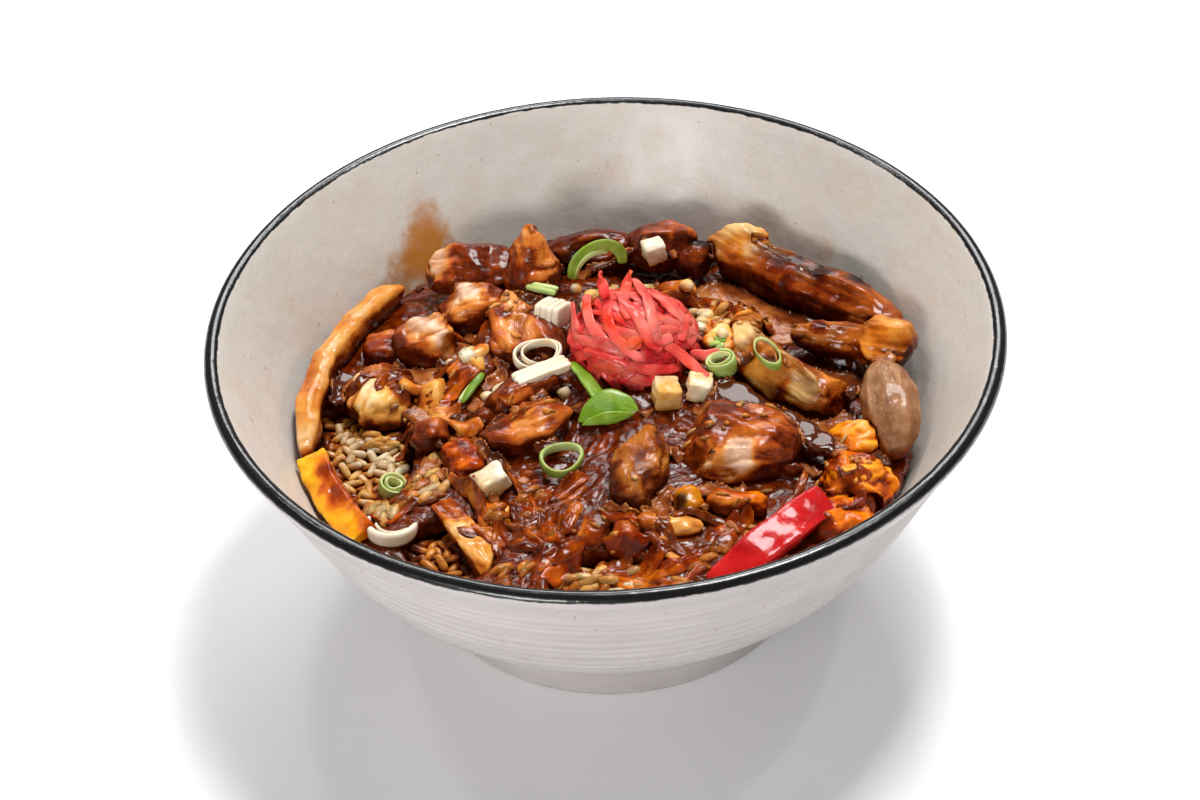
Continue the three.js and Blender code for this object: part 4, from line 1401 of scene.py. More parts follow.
def close_up(name: str, shape: Shape, finish: FoodFinish, nodes: Sequence[str] = (),
             relief: float = 0.1, variety: float = 0.35) -> Piece:
    """Turns a bmesh into a published piece with a little unevenness in its form and colour.

    Args:
        name: The piece's name.
        shape: The bmesh, in millimetres, from blank().
        finish: Its look.
        nodes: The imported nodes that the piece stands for.
        relief: The height of its unevenness in millimetres.
        variety: How much its sauce and tone vary.

    Returns:
        The finished piece.
    """
    bmesh.ops.recalc_face_normals(shape, faces=shape.faces)
    piece = object_of(name, mesh_of(name, shape))
    mesh = piece.data
    points = read_points(mesh)
    write_points(mesh, points + read_normals(mesh) * (relief * layered_noise(points, 1.8, 4.4))[:, None])
    for layer, size, seed in (("sauce", 5.0, 2.2), ("accent", 4.0, 6.6), ("tone", 3.5, 16.6)):
        values = read_values(mesh, layer) + variety * layered_noise(points, size, seed)
        store(mesh, layer, np.clip(values, 0, 1))
    publish(piece, finish, *nodes)
    return piece


def turned(centre: Point, heading: float, pitch: float = 0.0, roll: float = 0.0) -> Matrix:
    """Places a piece by its centre and its angles.

    Args:
        centre: Its middle.
        heading: Its turn about the upright, in degrees.
        pitch: How far it leans along its length, in degrees.
        roll: How far it leans sideways, in degrees.

    Returns:
        Its place.
    """
    place = Matrix.Translation(centre)
    for angle, axis in ((heading, "Z"), (pitch, "Y"), (roll, "X")):
        place = place @ Matrix.Rotation(math.radians(angle), 4, axis)
    return place


@dataclass
class Slice:
    """A slice across a spring onion or leek: thin nested rings, some of them slipped."""

    node: str
    finish: FoodFinish
    place: Matrix
    radius: float
    height: float
    oval: float = 1.0
    walls: tuple[Spot, ...] = ((1.0, 0.9, 0.0, 0.0),)
    pale: float = 0.4

    def wall(self, shape: Shape, reach: float, thickness: float, slip: float, lift: float) -> None:
        """Adds one ring.

        Args:
            shape: The bmesh to add to.
            reach: The ring's outer radius as a share of the slice's.
            thickness: Its wall in millimetres.
            slip: How far it has slid sideways in millimetres.
            lift: How far it has risen in millimetres.
        """
        outer, half, edge = self.radius * reach, self.height / 2, thickness * 0.35
        corners = (
            (outer - thickness, -half + edge), (outer - thickness + edge, -half), (outer - edge, -half),
            (outer, -half + edge), (outer + 0.12, 0), (outer, half - edge), (outer - edge, half),
            (outer - thickness + edge, half), (outer - thickness, half - edge), (outer - thickness - 0.08, 0),
        )
        verts = [shape.verts.new((x, 0, z)) for x, z in corners]
        edges = [shape.edges.new((verts[index - 1], verts[index])) for index in range(len(verts))]
        before = set(shape.verts) - set(verts)
        bmesh.ops.spin(shape, geom=verts + edges, cent=(0, 0, 0), axis=(0, 0, 1), angle=2 * math.pi, steps=44,
                       use_merge=True)
        layers = shape.verts.layers
        for vert in set(shape.verts) - before:
            angle, across = math.atan2(vert.co.y, vert.co.x), math.hypot(vert.co.x, vert.co.y)
            vert[layers.float_vector["lie"]] = Vector((angle * outer, across, vert.co.z))
            inward = (outer - across) / max(thickness, 0.1)
            vert[layers.float["accent"]] = min(1.0, self.pale + 0.6 * inward + 0.4 * (1 - reach))
            vert[layers.float["tone"]] = 0.6
            dent = 1 + 0.05 * math.sin(2 * angle + outer) + 0.03 * math.sin(3 * angle)
            wave = 0.3 * math.sin(2 * angle + 1.3 * outer)
            vert.co = self.place @ Vector((vert.co.x * dent + slip, vert.co.y * self.oval * dent,
                                           vert.co.z + lift + wave))

    def make(self) -> Piece:
        """Builds the slice.

        Returns:
            The finished slice.
        """
        shape = blank()
        for wall in self.walls:
            self.wall(shape, *wall)
        return close_up(self.node + "_dressed", shape, self.finish, [self.node], relief=0.06, variety=0.25)


@dataclass
class Garnish:
    """A small cut piece made of soft strips."""

    node: str
    finish: FoodFinish
    parts: tuple[Strand, ...]

    def make(self) -> Piece:
        """Builds the piece.

        Returns:
            The finished piece.
        """
        shape = blank()
        for part in self.parts:
            part.add(shape)
        return close_up(self.node + "_dressed", shape, self.finish, [self.node], relief=0.08, variety=0.25)


def straight(centre: Point, length: float, heading: float, rise: float = 0.0,
             sag: float = 0.0) -> tuple[Point, ...]:
    """Returns a short path through a centre.

    Args:
        centre: Its middle.
        length: Its length in millimetres.
        heading: The direction it runs in, in degrees.
        rise: How much higher its far end is than its near end.
        sag: How much lower its ends are than its middle.

    Returns:
        The path's points.
    """
    turn = math.radians(heading)
    return tuple(
        (centre[0] + step * length * math.cos(turn), centre[1] + step * length * math.sin(turn),
         centre[2] + step * rise - 4 * sag * step * step)
        for step in (-0.5, -0.25, 0.0, 0.25, 0.5)
    )


def leek_layers(centre: Point, size: Point, heading: float, tilt: float, count: int) -> tuple[Strand, ...]:
    """Returns the layers of a cut piece of leek, side by side.

    Args:
        centre: The piece's middle.
        size: Its length, its width over all layers and its height.
        heading: The direction that its layers run in, in degrees.
        tilt: How much higher its far end is, in millimetres.
        count: How many layers.

    Returns:
        A strand for each layer.
    """
    across = math.radians(heading + 90)
    out = []
    for index in range(count):
        offset = size[1] * ((index + 0.5) / count - 0.5)
        lift = 0.5 * (chance(index, centre[0]) - 0.5)
        length = size[0] * (0.92 + 0.12 * chance(index, centre[1]))
        middle = (centre[0] + offset * math.cos(across), centre[1] + offset * math.sin(across),
                  centre[2] + lift)
        out.append(Strand(straight(middle, length, heading, tilt, 0.2), size[1] / count * 1.06, size[2],
                          taper=0.06, squareness=0.35, steps=14, sides=16, tone=0.4 + 0.5 * chance(index, 5),
                          rough=0.05))
    return tuple(out)


def loop_path(centre: Point, radius: float, heading: float, start: float, end: float) -> tuple[Point, ...]:
    """Returns an upright arc.

    Args:
        centre: The middle of the circle.
        radius: Its radius in millimetres.
        heading: The direction that it faces along, in degrees.
        start: The first end's angle from the top.
        end: The other end's angle from the top.

    Returns:
        The arc's points.
    """
    turn = math.radians(heading)
    out = []
    for angle in np.radians(np.linspace(start, end, 9)):
        away = radius * math.sin(angle)
        out.append((centre[0] + away * math.cos(turn), centre[1] + away * math.sin(turn),
                    centre[2] + radius * math.cos(angle)))
    return tuple(out)


def hook_path(centre: Point, radius: float, start: float, end: float) -> tuple[Point, ...]:
    """Returns a level arc of a given radius between two headings in degrees."""
    return tuple((centre[0] + radius * math.cos(angle), centre[1] + radius * math.sin(angle), centre[2])
                 for angle in np.radians(np.linspace(start, end, 9)))


GARNISHES: tuple[Slice | Garnish, ...] = (
    Slice("scallion_ring_front", GREEN, turned((-12.5, -23.4, 56.9), 0, 0, 8), 5.8, 3.0, 0.86,
          ((1.0, 0.95, 0, 0),), 0.1),
    Slice("scallion_ring_right", GREEN, turned((30.4, 6.8, 61), 20, -12), 4.2, 4.6, 0.8,
          ((1.0, 0.8, 0, 0), (0.72, 0.5, 0, 0.3)), 0.3),
    Slice("scallion_ring_left", GREEN, turned((-56.3, -22.2, 49), 0, 14, 10), 3.7, 4.0, 0.9,
          ((1.0, 0.7, 0, 0), (0.62, 0.6, 0, 0.2)), 0.55),
    Slice("scallion_ring_mushroom", GREEN, turned((42.3, 5, 65.2), 104, 8, -6), 7.0, 2.4, 0.42,
          ((1.0, 0.75, 0, 0),), 0.2),
    Slice("leek_ring", LEEK, turned((-17.9, 13, 61.9), 10, 0, 8), 6.5, 2.8, 0.8,
          ((1.0, 0.75, 0, 0), (0.8, 0.55, 0.6, 0.3)), -0.6),
    Garnish("leek_block", LEEK, leek_layers((-13.8, 31, 61.6), (8.2, 7.2, 6.6), 62, -3.0, 4)),
    Garnish("leek_strip", LEEK, leek_layers((-16.9, 5.2, 62.8), (15.2, 5.4, 2.4), 26, 0.3, 3)),
    Garnish("onion_hook", LEEK, (
        Strand(hook_path((-55.8, -39.2, 52.0), 6.2, 158, 352), 1.9, 4.2, taper=0.5, squareness=0.6, steps=26,
               tone=0.7),
        Strand(hook_path((-55.5, -38.6, 51.2), 4.4, 175, 330), 1.2, 3.0, taper=0.5, steps=20, tone=0.35),
    )),
    Garnish("scallion_loop", GREEN, (
        Strand(loop_path((-1, 51.2, 60.6), 7.6, 24, -98, 98), 3.6, 0.75, up=(0.4, -0.9, 0.1), twist=50,
               taper=0.3, steps=34, tone=0.7),
        Strand(loop_path((-1.6, 50.4, 60.2), 6.3, 30, -80, 40), 1.6, 0.6, up=(0.4, -0.9, 0.1), twist=-60,
               taper=0.4, steps=24, accent=0.6),
    )),
    Garnish("scallion_slice", GREEN, (
        Strand(straight((-16.6, 39.2, 63.4), 9, -28, 0.6), 2.0, 1.6, taper=0.3, accent=0.35),
        Strand(straight((-15.6, 40.9, 63.0), 8, -24, 0.4), 1.9, 1.4, taper=0.3, accent=0.8),
    )),
    Garnish("scallion_strip", GREEN, (
        Strand(straight((-4.6, 1.4, 61.4), 17.5, -62, -3.2, 0.9), 4.4, 0.9, up=(0.3, 0.1, 1), twist=24,
               taper=0.25, steps=28, tone=0.5, rough=0.12),
    )),
    Garnish("scallion_sliver", GREEN, (
        Strand(straight((-35.3, 7.4, 56.9), 12, 62, 1.2, 0.5), 2.3, 1.1, twist=50, taper=0.7, tone=0.2),
        Strand(straight((-36.6, 7.0, 56.5), 9, 58, 0.9, 0.4), 1.4, 0.8, taper=0.6, accent=0.6),
    )),
    Garnish("scallion_leaf", GREEN, (
        Strand(((-7.8, -10.6, 58.1), (-4.2, -7.8, 59.6), (0.4, -5.6, 60.3), (4.6, -6.2, 59.9),
                (7.8, -7.6, 58.6)), 7.4, 0.8,
               up=(-0.2, -0.5, 0.9), twist=-36, taper=0.97, steps=30, sides=14, tone=0.3, rough=0.12,
               bluntness=1.6),
        Strand(((-7.0, -11.2, 57.7), (-2.4, -10.4, 58.6), (2.4, -9.6, 58.6), (7.0, -8.2, 58.2)), 3.6, 0.7,
               up=(0.1, -0.8, 0.6), twist=20, taper=0.97, steps=24, tone=0.55, bluntness=1.6),
    )),
)


@dataclass
class GingerHeap:
    """The heap of red pickled ginger: shreds over and through each other on a rounded core."""

    centre: Point = (7.6, 18.0, 58.0)
    radii: Point = (17.2, 16.0, 15.6)
    shred: Place = (3.1, 0.7)
    fill: int = 84
    leading: tuple[tuple[Point, ...], ...] = (
        ((2.0, 27.7, 71.1), (0.9, 15.0, 73.7), (2.2, 8.9, 71.5), (5.7, 5.0, 68.7), (10.2, 3.5, 66.3)),
        ((-5.9, 9.1, 65.1), (-0.7, 5.3, 66.2), (4.7, 3.2, 65.6), (9.1, 2.5, 64.5), (15.6, 3.6, 62.5),
         (19.4, 5.8, 62.1)), ((15.9, 7.1, 68.4), (20.3, 6.3, 64.6), (24.0, 3.5, 62.0), (26.2, 1.4, 61.2)),
        ((22.1, 8.4, 63.2), (26.4, 8.9, 62.6), (30.2, 9.3, 62.4)),
        ((-8.3, 25.7, 68.6), (-7.7, 17.8, 67.3), (-7.1, 11.3, 65.4)),
        ((-4.4, 27.1, 70.3), (-3.9, 15.7, 71.1), (-1.2, 9.2, 70.1), (3.3, 5.5, 68.8)),
        ((-0.4, 31.0, 75.2), (-0.0, 28.7, 72.5), (0.9, 21.1, 73.7)),
        ((7.9, 30.8, 75.0), (6.6, 28.5, 72.2), (5.5, 17.6, 74.6), (6.8, 11.5, 73.8)),
        ((8.8, 29.2, 73.2), (11.6, 18.8, 74.6), (12.6, 11.8, 73.3), (13.3, 7.1, 69.9)),
        ((9.5, 25.8, 73.1), (14.8, 20.0, 73.7), (18.3, 16.5, 71.8), (21.6, 15.2, 68.6)),
        ((13.1, 24.3, 73.1), (17.7, 19.9, 72.2), (21.1, 15.3, 69.2), (19.7, 9.6, 67.5)),
        ((13.3, 10.9, 72.6), (14.1, 7.3, 69.7), (17.6, 9.1, 69.1)),
        ((4.1, 22.1, 74.4), (7.0, 15.1, 74.9), (9.7, 10.4, 73.2), (11.5, 6.8, 70.3), (14.8, 5.9, 67.8)),
        ((-8.1, 14.0, 65.7), (-1.5, 8.2, 69.0), (4.8, 4.6, 68.1)),
        ((-3.4, 6.0, 64.1), (3.1, 3.0, 64.5), (10.0, 1.6, 60.8), (12.9, 2.5, 62.2)),
    )

    def over_dome(self, index: int) -> Strand:
        """Bends a shred of the fill over the core.

        Args:
            index: The shred's number.

        Returns:
            The shred.
        """
        spread = math.sqrt((index + 0.5) / self.fill)
        round_angle = index * GOLDEN_ANGLE
        middle = np.array([math.cos(round_angle), math.sin(round_angle)]) * 1.25 * spread
        heading = round_angle + math.pi / 2 + 2.2 * (chance(index, 31) - 0.5)
        length = 0.55 + 0.4 * chance(index, 32)
        bow = 0.5 * (chance(index, 33) - 0.5)
        lift = 0.95 + 0.11 * chance(index, 34)
        path = []
        for step in np.linspace(-1, 1, 5):
            flat = middle + length * step * np.array([math.cos(heading), math.sin(heading)])
            flat += bow * step * step * np.array([-math.sin(heading), math.cos(heading)])
            reach = float(np.hypot(*flat))
            polar = min(reach, 1.75)
            direction = flat / max(reach, 1e-6)
            out = np.array([direction[0] * math.sin(polar), direction[1] * math.sin(polar), math.cos(polar)])
            path.append(tuple(np.array(self.centre) + np.array(self.radii) * out * lift))
        outward = tuple(np.array([middle[0], middle[1], 0.9]))
        width = self.shred[0] * (0.75 + 0.35 * chance(index, 35))
        return Strand(path, width, self.shred[1], up=outward, twist=160 * (chance(index, 36) - 0.5),
                      taper=0.2, tone=chance(index, 37), accent=0.35 * chance(index, 38) - 0.1, rough=0.15)

    def core(self, shape: Shape) -> None:
        """Adds the core under the shreds.

        Args:
            shape: The bmesh to add to.
        """
        radii = [0.93 * radius for radius in self.radii]
        place = Matrix.Translation(self.centre) @ Matrix.Diagonal((*radii, 1))
        bmesh.ops.create_icosphere(shape, subdivisions=4, radius=1, matrix=place)

    def make(self) -> Piece:
        """Builds the heap.

        Returns:
            The finished heap.
        """
        parts = [self.over_dome(index) for index in range(self.fill)]
        for index, path in enumerate(self.leading):
            middle = np.mean(np.array(path), axis=0) - np.array(self.centre)
            parts.append(Strand(path, self.shred[0], self.shred[1] + 0.2, up=tuple(middle), taper=0.25,
                                twist=70 * (chance(index, 41) - 0.5), steps=26,
                                tone=0.35 + 0.6 * chance(index, 42), accent=0.4 * chance(index, 43),
                                rough=0.18))
        shape = blank()
        for part in parts:
            part.add(shape)
        self.core(shape)
        return close_up("ginger_dressed", shape, GINGER, ["ginger"], relief=0.12, variety=0.6)


@dataclass
class RicePockets:
    """The rice, with the grains that show where the egg bed leaves it open."""

    grain: Point = (5.2, 2.3, 2.2)
    pockets: tuple[tuple[Place, Place, int, float], ...] = (
        ((-68, -12), (13, 18), 154, 2.6), ((-42, -49), (9, 8), 49, 2.6), ((-3, -62), (10, 6), 49, 4.2),
    )
    edge: float = 76.0

    def height(self, x: float, y: float) -> float:
        """Returns the rice's height at a place."""
        return RICE_LEVEL + RICE_CROWN * (1 - (x * x + y * y) / RICE_REACH**2)

    def add_grain(self, shape: Shape, at: Point, turn: Place, seed: float) -> None:
        """Adds one grain.

        Args:
            shape: The bmesh to add to.
            at: The grain's middle.
            turn: Its heading and pitch in radians.
            seed: Picks its size.
        """
        scale = 0.88 + 0.24 * chance(seed, 51)
        place = (Matrix.Translation(at) @ Matrix.Rotation(turn[0], 4, "Z") @ Matrix.Rotation(turn[1], 4, "Y")
                 @ Matrix.Diagonal((*[scale * size / 2 for size in self.grain], 1)))
        made = bmesh.ops.create_uvsphere(shape, u_segments=8, v_segments=8, radius=1)
        for vert in made["verts"]:
            share, fuller = vert.co.z, 1.0
            if abs(share) < 0.99:
                fuller = math.sqrt(max(0.0, 1 - abs(share) ** 4.5)) / math.sqrt(max(1e-6, 1 - share * share))
            vert.co = place @ Vector((share, vert.co.x * fuller, vert.co.y * fuller))

    def make(self) -> Piece:
        """Builds the rice.

        Returns:
            The finished piece.
        """
        shape = bmesh.new()
        shape.from_mesh(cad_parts["rice"].data)
        bmesh.ops.remove_doubles(shape, verts=shape.verts, dist=1e-6)
        bmesh.ops.scale(shape, vec=(1 / MM,) * 3, verts=shape.verts)
        count = 0
        for (x0, y0), (a, b), grains, heap in self.pockets:
            for index in range(grains):
                spread = math.sqrt((index + 0.5) / grains) * 1.22
                x = x0 + a * spread * math.cos(index * GOLDEN_ANGLE * 1.618)
                y = y0 + b * spread * math.sin(index * GOLDEN_ANGLE * 1.618)
                if math.hypot(x, y) > self.edge:
                    continue
                lift = 0.4 + heap * chance(index, 53) * (1 - 0.4 * spread)
                turn = (2 * math.pi * chance(index, 54), 0.9 * (chance(index, 55) - 0.5))
                self.add_grain(shape, (x, y, self.height(x, y) + lift), turn, index)
                count += 1
        log.info("rice grains: %d", count)
        piece = object_of("rice_dressed", mesh_of("rice_dressed", shape))
        points = read_points(piece.data)
        store(piece.data, "lie", points)
        # Grains lower in the heap get more sauce and painted shade (crease) between them; the sauce also
        # rises towards the front
        front, deep = smooth_step(-36.0, -50.0, points[:, 1]), smooth_step(47.6, 45.6, points[:, 2])
        sauce = 0.12 + 0.32 * front + 0.5 * layered_noise(points, 12, 9.0, 2) + 0.55 * deep
        store(piece.data, "sauce", np.clip(sauce, 0, 0.9))
        store(piece.data, "accent", np.clip(layered_noise(points, 3, 10.0), 0, 1))
        store(piece.data, "tone", 0.5 + 0.6 * layered_noise(points, 4, 16.6))
        store(piece.data, "crease", smooth_step(47.2, RICE_LEVEL, points[:, 2]))
        publish(piece, RICE, "rice")
        return piece


MEATY = (Unevenness((9, 6, 6), 0.5, seed=2.0), Unevenness((12, 4.5, 4.5), 0.7, Relief.CREASED, 3.0),
         Unevenness((3, 1.6, 1.6), 0.2, seed=4.0))
FIBROUS = (Unevenness((11, 6, 6), 0.5, seed=5.0), Unevenness((15, 3.4, 3.4), 0.6, Relief.CREASED, 6.0),
           Unevenness((6, 1.3, 1.3), 0.16, seed=7.0))
CURDLED = (Unevenness((7, 7, 7), 1.0, seed=8.0), Unevenness((6, 3.2, 3.2), 0.8, Relief.CREASED, 9.0),
           Unevenness((1.8, 1.8, 1.8), 0.25, seed=10.0))
SOFT = (Unevenness((6, 5, 5), 0.6, seed=11.0), Unevenness((7, 3, 3), 0.35, Relief.CREASED, 12.0))
RIBBED = (Unevenness((20, 2.6, 2.6), 0.4, Relief.CREASED, 13.0), Unevenness((7, 5, 5), 0.6, seed=14.0))
STREAKED = (Unevenness((12, 1.1, 1.1), 0.08, Relief.CREASED, 15.0), Unevenness((11, 8, 8), 0.5, seed=16.0))
FLUTED = (Unevenness((28, 2.6, 2.6), 0.36, Relief.CREASED, 15.0), Unevenness((11, 8, 8), 0.6, seed=16.0),
          Unevenness((14, 1.0, 1.0), 0.08, Relief.CREASED, 17.0))

TOPPINGS: tuple[Topping, ...] = (
    EggBed("egg_bed", BED, 0, (), pools((39, -12, 5), (34, -1, 4), (49, -20, 4), (27, 6, 4), (50, 20, 5),
                                        (16, -51, 4), (31, -52, 5), (-16, 4, 3))
           + sauces((-30, 30, 5), (-45, 5, 5), (2, -37, 5), (-20, -36, 5), (-36, -2, 5), (22, -60, 5),
                    (-12, -28, 4)) + accents((-19, -47, 5), (-46, -30, 4))
           + tints((-35, 8, 4), (-2, -42, 3), (10, -47, 3)), sauce=0.84, cell=0.7, smoothing=3, variety=0.5,
           bend=0),
    Topping("egg_right_front", EGG, 25, CURDLED, sauces((52, -49, 4)), 0.32, cuts=3),
    Topping("egg_right", EGG, -10, CURDLED, sauces((57, -30, 3)), 0.3, cuts=3),
    Topping("egg_right_top", EGG, 20, CURDLED, accents((67, -17, 4)), 0.28, cuts=3),
    Topping("egg_front_left", EGG, -50, SOFT, (), 0.12, cuts=3),
    Topping("egg_band", ONION, -14, SOFT, tints((10, -46, 5)), 0.55),
    Topping("egg_roll", EGG, -9, SOFT, accents((28, -42, 4)), 0.65, cuts=2),
    Topping("egg_sauced", EGG, 15, CURDLED, sauces((-38, -17, 3)), 0.58),
    Topping("onion_left", ONION, 60, RIBBED, sauces((-56, 19, 6), (-54, 9, 4), (-63, 20, 4))
            + tints((-65, 6, 9), (-57, 4, 5)), 0.36, cuts=5, bend=1.8),
    Topping("onion_upper_left", ONION, 30, SOFT, accents((-62, 28, 5)), 0.55, cuts=4),
    Topping("onion_inner_left", ONION, 15, SOFT, tints((-36, 18, 3)) + sauces((-34, 12, 3)), 0.6, cuts=4),
    Topping("onion_behind_slice", ONION, 70, SOFT, (), 0.7, cuts=3),
    Topping("onion_strip_left", ONION, -60, RIBBED, (), 0.45, bend=1.0),
    Topping("onion_oval_left", ONION, 70, SOFT, (), 0.6),
    Topping("onion_oval_right", ONION, 82, SOFT, (), 0.6),
    Topping("onion_strip_front", ONION, -52, SOFT, tints((13, -56, 3)), 0.6),
    Topping("onion_right", ONION, 25, SOFT, tints((31, 19, 4)), 0.4, cuts=5),
    Topping("onion_right_back", ONION, 10, SOFT, (), 0.5, cuts=4),
    Topping("chicken_back_left", CHICKEN, -6, FIBROUS, sauces((-37, 52, 5), (-44, 47, 3), (-31, 54, 4))
            + bares((-45, 56, 4)), 0.68, cuts=5),
    Topping("chicken_mid_left", CHICKEN, 12, FIBROUS, sauces((-28.6, 42.5, 4)) + bares((-37, 42, 4)), 0.56,
            cuts=6),
    Topping("chicken_low_left", CHICKEN, 28, FIBROUS, sauces((-55, 24.4, 3), (-41, 35.6, 3))
            + bares((-50, 30, 5), (-43, 25, 4)), 0.54, cuts=7),
    Topping("chicken_tall", CHICKEN, 80, MEATY, sauces((-17, 55, 3), (-24, 50, 3), (-19, 48, 3)), 0.46,
            cuts=5),
    Topping("chicken_slice", CHICKEN, 100, FIBROUS, sauces((-15.5, 28, 2.5), (-27, 30, 3)), 0.5, cuts=5),
    Topping("chicken_lower", CHICKEN, 28, FIBROUS, sauces((-28, -12, 4), (-21, -20, 3), (-30.8, -20, 3)),
            0.56, cuts=5),
    Topping("chicken_upper", CHICKEN, 36, FIBROUS, sauces((-26.7, -0.8, 3), (-19.6, 2.7, 3)), 0.56, cuts=5),
    Topping("chicken_front_left", GREY_CHICKEN, 80, MEATY, sauces((1.2, -31, 2.5), (9.6, -38, 3)), 0.5,
            cuts=4),
    Topping("chicken_front_right", CHICKEN, -10, MEATY,
            sauces((14, -14, 5), (21, -16, 5), (30, -12, 6), (39, -17, 5), (44, -23, 3))
            + bares((31, -29, 6), (24, -29, 3)), 0.6, cuts=5),
    Topping("chicken_back_middle", CHICKEN, 5, MEATY, sauces((15, 58, 4), (22, 60, 3)) + tints((16, 66, 5)),
            0.7, cuts=4),
    Topping("chicken_cube", CHICKEN, 25, MEATY, (), 0.6, cuts=3),
    Topping("mushroom_long", MUSHROOM, -38, FLUTED,
            accents((50, 50, 5), (57, 44, 5), (45, 56, 4), (62, 47, 5), (70, 38, 4)) + tints((39, 62, 8))
            + bares((38, 63, 9)) + sauces((60, 41, 4), (50, 41, 3)), 0.5, variety=0.3, cuts=1, bend=1.2,
            flats=((-0.37, -0.47, 0.8, 0.5), (-0.6, -0.77, 0.1, 0.7), (0.2, 0.26, 0.95, 0.7))),
    Topping("mushroom_side", MUSHROOM, -15, FLUTED, sauces((57, 18, 3)) + tints((70, 12, 9)), 0.34,
            variety=0.3, bend=0.9, flats=((-0.2, -0.7, 0.7, 0.6), (0.1, 0.4, 0.9, 0.7))),
    Topping("mushroom_curl", MUSHROOM, -55, FLUTED, tints((48, -7, 6), (40, 4, 5), (35, 16, 5), (57, -2, 4))
            + bares((50, -6, 6), (39, 2, 6), (35, 14, 5)) + pools((46, 14, 4), (52, 4, 4))
            + accents((58, 10, 4), (62, 3, 4), (52, 19, 4)), 0.28, variety=0.3, cuts=1, bend=1.2,
            flats=((-0.5, -0.6, 0.6, 0.7),)),
    Topping("mushroom_cap", DRY_MUSHROOM, 92, STREAKED, (), -0.1, variety=0.1, bend=0.7),
    Topping("mushroom_back", MUSHROOM, 2, FIBROUS, accents((-6, 58, 6)), 0.64, variety=0.2, bend=0.8),
    Topping("mushroom_chunk", MUSHROOM, -30, SOFT, accents((28, 58, 4)), 0.74, variety=0.2, bend=0.8),
    Topping("pepper_red", RED_PEPPER, 40, (Unevenness((16, 9, 9), 0.5, seed=11.0),), (), -0.5, cell=0.4,
            variety=0.1, bend=0.6),
    Topping("pepper_yellow", YELLOW_PEPPER, -64, SOFT[:1],
            sauces((-69, -22, 6.5), (-66, -29, 6.5), (-62, -35, 6), (-59, -41, 5)), 0.0, cell=0.4, bend=0.6),
    Topping("corn", CORN, 100, SOFT, accents((17, -41, 2)), 0.15, bend=0.4),
    Topping("leek_chunk", LEEK, 30, SOFT[:1], (), 0.02, cell=0.3, smoothing=40, bend=0.8),
    Topping("onion_cube_back", LEEK, 15, SOFT, (), 0.12, cell=0.3, smoothing=12, bend=0.6),
    Topping("onion_cube_front", LEEK, 10, SOFT, (), 0.2, cell=0.3, smoothing=12, bend=0.6),
    Topping("onion_cube_right", LEEK, -8, SOFT, (), 0.2, cell=0.3, smoothing=12, bend=0.6),
    Topping("onion_arc", ARC, 0, (Unevenness((30, 9, 9), 0.6, seed=14.0),
                                  Unevenness((30, 1.7, 1.7), 0.12, Relief.CREASED, 13.0)), (), 0.26, round=79,
            bend=1.0, smoothing=9, variety=0.3),
)


ONION_THREAD = FoodFinish(
    "onion_thread", "onion", tones("b9813f", "cf9f5c", "dcb983", "e6d2ac"), linear("8a4f1e"),
    linear("efe3c8"), grain=(9, 0.7, 0.7), grain_depth=0.08, clearness=0.35, glow=1.8, roughness=0.24)
EGG_THREAD = FoodFinish(
    "egg_thread", "egg", tones("c67a14", "d89422", "e3aa38", "e6c06c"), linear("8f4a10"), linear("f0d79c"),
    grain=(5, 0.8, 0.8), grain_depth=0.1, clearness=0.3, roughness=0.24)
CRUMB = FoodFinish(
    "fried_crumb", "chicken", tones("3a1a0b", "6d3a1a", "a56c3c", "c79a6a"), linear("2a1208"),
    linear("d9b98e"), grain_depth=0.1, clearness=0.15, roughness=0.2)


@dataclass
class Strewn:
    """Small pieces of one kind strewn over the food."""

    name: str
    finish: FoodFinish
    count: int
    length: Place
    width: Place
    thickness: float
    spots: tuple[Spot, ...]
    sauce: float = 0.3
    curl: float = 1.2
    swing: float = 1.1
    seed: float = 0.0

    def start(self, index: int) -> tuple[float, ...]:
        """Picks one piece's place and size.

        Args:
            index: The piece's number.

        Returns:
            Its own number, its x and y, its heading and bow in radians, its length and its width.
        """
        item = index + self.seed
        x, y, radius, heading = self.spots[index % len(self.spots)]
        apart, around = radius * math.sqrt(chance(item, 61)), 2 * math.pi * chance(item, 62)
        turn = math.radians(heading) + self.swing * (chance(item, 63) - 0.5)
        bow = self.curl * 2 * (chance(item, 64) - 0.5)
        length = self.length[0] + (self.length[1] - self.length[0]) * chance(item, 65)
        width = self.width[0] + (self.width[1] - self.width[0]) * chance(item, 66)
        return item, x + apart * math.cos(around), y + apart * math.sin(around), turn, bow, length, width


